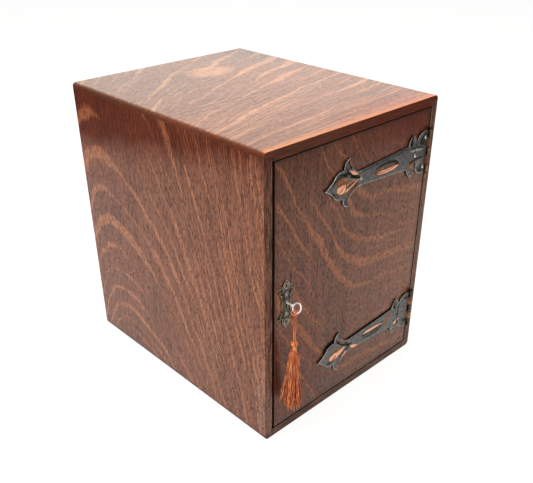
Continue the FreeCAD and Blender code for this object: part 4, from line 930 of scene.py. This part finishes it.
for lock in range(LOCKS):
    lock_angle = lock * LOCK_TURN
    lock_depth = math.sqrt((lock + 1.0) / LOCKS)
    lock_foot = SKIRT_FOOT + draw.uniform(0.3, 8.0)
    lock_wave, lock_phase = draw.uniform(0.5, 1.25), draw.uniform(*ANY_PHASE)
    lock_sway = draw.uniform(-0.25, 0.25)
    lock_tone = draw.choice((0.05, 0.25, 0.4, 0.6, 0.95))
    for _ in range(LOCK_THREADS):
        add_thread(
            lock_angle + draw.gauss(0, 0.08), min(1.0, max(0.1, lock_depth + draw.gauss(0, 0.05))),
            max(SKIRT_FOOT + 0.2, lock_foot + draw.gauss(0, 1.8)), lock_wave * draw.uniform(0.6, 1.4),
            lock_phase + draw.gauss(0, 0.5), lock_sway, 0.0, 0.4 * lock_tone + 0.6 * draw.random())
for _ in range(STRAYS):
    add_thread(
        LEFTWARD + draw.uniform(-0.5, 0.4), 1.0, SKIRT_FOOT + draw.uniform(3.0, 26.0),
        draw.uniform(0.8, 1.3), draw.uniform(*ANY_PHASE), draw.uniform(-0.2, 0.2),
        draw.uniform(1.0, 6.0), draw.uniform(0.5, 1.0))
mesh = line_mesh(paths, 0.52, sides=0, steps=1)
# A thread's colour goes with its crimps, painted lighter on their crests and darker in their troughs as
# highlight and shade, and paler at the foot as highlight. Its section has four corners.
rings = len(mesh.vertices) // (4 * len(paths))
share = np.linspace(0.0, 1.0, rings)
crimps = np.sin(np.array(phases)[:, None] + OUT_CRIMP * share)
tone = np.array(tones)[:, None] + 0.42 * crimps + 0.2 * share ** 3
write_attribute(mesh, "tone", np.repeat(tone.ravel(), 4))
piece("tassel_skirt_threads", mesh, "tassel", ["tassel_skirt"], skirt_silk)


# Stage: pale floor, dark surround that only reflections see, soft lamps and a white backdrop.
def stage_mesh(name, make):
    shape = bmesh.new()
    make(shape)
    mesh = bpy.data.meshes.new(name)
    shape.to_mesh(mesh)
    shape.free()
    made = bpy.data.objects.new(name, mesh)
    bpy.context.scene.collection.objects.link(made)
    return made


def seen_clearly(tree):
    """1 for what the camera sees straight, mirrored or through glass, and 0 for light thrown on things."""
    rays = tree.nodes.new("ShaderNodeLightPath").outputs
    seen = add(tree, "Math", {0: rays["Is Camera Ray"], 1: rays["Is Glossy Ray"]}, operation="MAXIMUM")
    return add(tree, "Math", {0: seen, 1: rays["Is Transmission Ray"]}, operation="MAXIMUM")


floor = stage_mesh("floor", lambda shape: bmesh.ops.create_circle(
    shape, cap_ends=True, radius=6.0, segments=64))
# Matt paper: evenly bright to the camera and in reflections, and plain white in the light that it throws.
paper, tree = new_material("matt white paper")
seen = seen_clearly(tree)
plain = add(tree, "BsdfDiffuse", {"Color": linear("#e8e6e2")})
pale = add(tree, "BsdfDiffuse", {"Color": linear("#707070")})
glow = add(tree, "Emission", {"Color": (1, 1, 1, 1), "Strength": 0.9})
bright = add(tree, "AddShader", {0: pale, 1: glow})
whole = add(tree, "MixShader", {0: seen, 1: plain, 2: bright})
add(tree, "OutputMaterial", {"Surface": whole})
floor.data.materials.append(paper)

# Low dark strips where the paper ends, left and right of the view line.
surround, tree = new_material("dark surround")
shader = add(tree, "Emission", {"Color": linear("#2a1c16"), "Strength": 1.0})
add(tree, "OutputMaterial", {"Surface": shader})
STRIP_HALF_WIDE, STRIP_HALF_HIGH = 2.0, 0.35


def strip(shape, across, off):
    """Upright strip, square to a direction and some way off in it."""
    bmesh.ops.create_grid(shape, x_segments=1, y_segments=1, size=1.0)
    bmesh.ops.scale(shape, vec=(STRIP_HALF_WIDE, STRIP_HALF_HIGH, 1.0), verts=shape.verts)
    for angle, axis in ((math.pi / 2, "X"), (math.atan2(across[1], across[0]) + math.pi / 2, "Z")):
        turn = Matrix.Rotation(angle, 3, axis)
        bmesh.ops.rotate(shape, verts=shape.verts, cent=(0, 0, 0), matrix=turn)
    bmesh.ops.translate(shape, verts=shape.verts, vec=(across[0] * off, across[1] * off, STRIP_HALF_HIGH))


for name, across, off in (
        ("surround_left", (-0.894, 0.449), 0.94), ("surround_right", (0.632, -0.775), 1.17)):
    card = stage_mesh(name, lambda shape: strip(shape, across, off))
    card.data.materials.append(surround)
    card.visible_camera = False
    card.visible_diffuse = False
    card.visible_shadow = False
    card.visible_transmission = False


def lamp(name, place, aim, size, watts, colour):
    data = bpy.data.lights.new(name, "AREA")
    data.shape = "RECTANGLE"
    data.size, data.size_y = size
    data.energy = watts
    data.color = linear(colour)[:3]
    made = bpy.data.objects.new(name, data)
    bpy.context.scene.collection.objects.link(made)
    made.location = place
    made.rotation_euler = (Vector(aim) - Vector(place)).to_track_quat("-Z", "Y").to_euler()


lamp("key softbox", (-1.2, 0.1, 2.2), (0, 0, 0.2), (2.0, 2.0), 55.0, "#fff4e8")
lamp("overhead softbox", (0.25, 0.35, 2.3), (0.1, 0.1, 0.3), (1.4, 1.4), 38.0, "#fff2e2")
lamp("low back softbox", (1.62, 1.49, 0.95), (0, 0, 0.4), (2.3, 1.0), 5.4, "#fff6ea")

world = bpy.data.worlds.new("studio")
bpy.context.scene.world = world
world.use_nodes = True
tree = world.node_tree
tree.nodes.clear()
seen = seen_clearly(tree)
dim = add(tree, "Background", {"Color": (1, 1, 1, 1), "Strength": 0.35})
white = add(tree, "Background", {"Color": (1, 1, 1, 1), "Strength": 1.0})
both = add(tree, "MixShader", {0: seen, 1: dim, 2: white})
add(tree, "OutputWorld", {"Surface": both})

bpy.context.scene.view_settings.view_transform = "Standard"
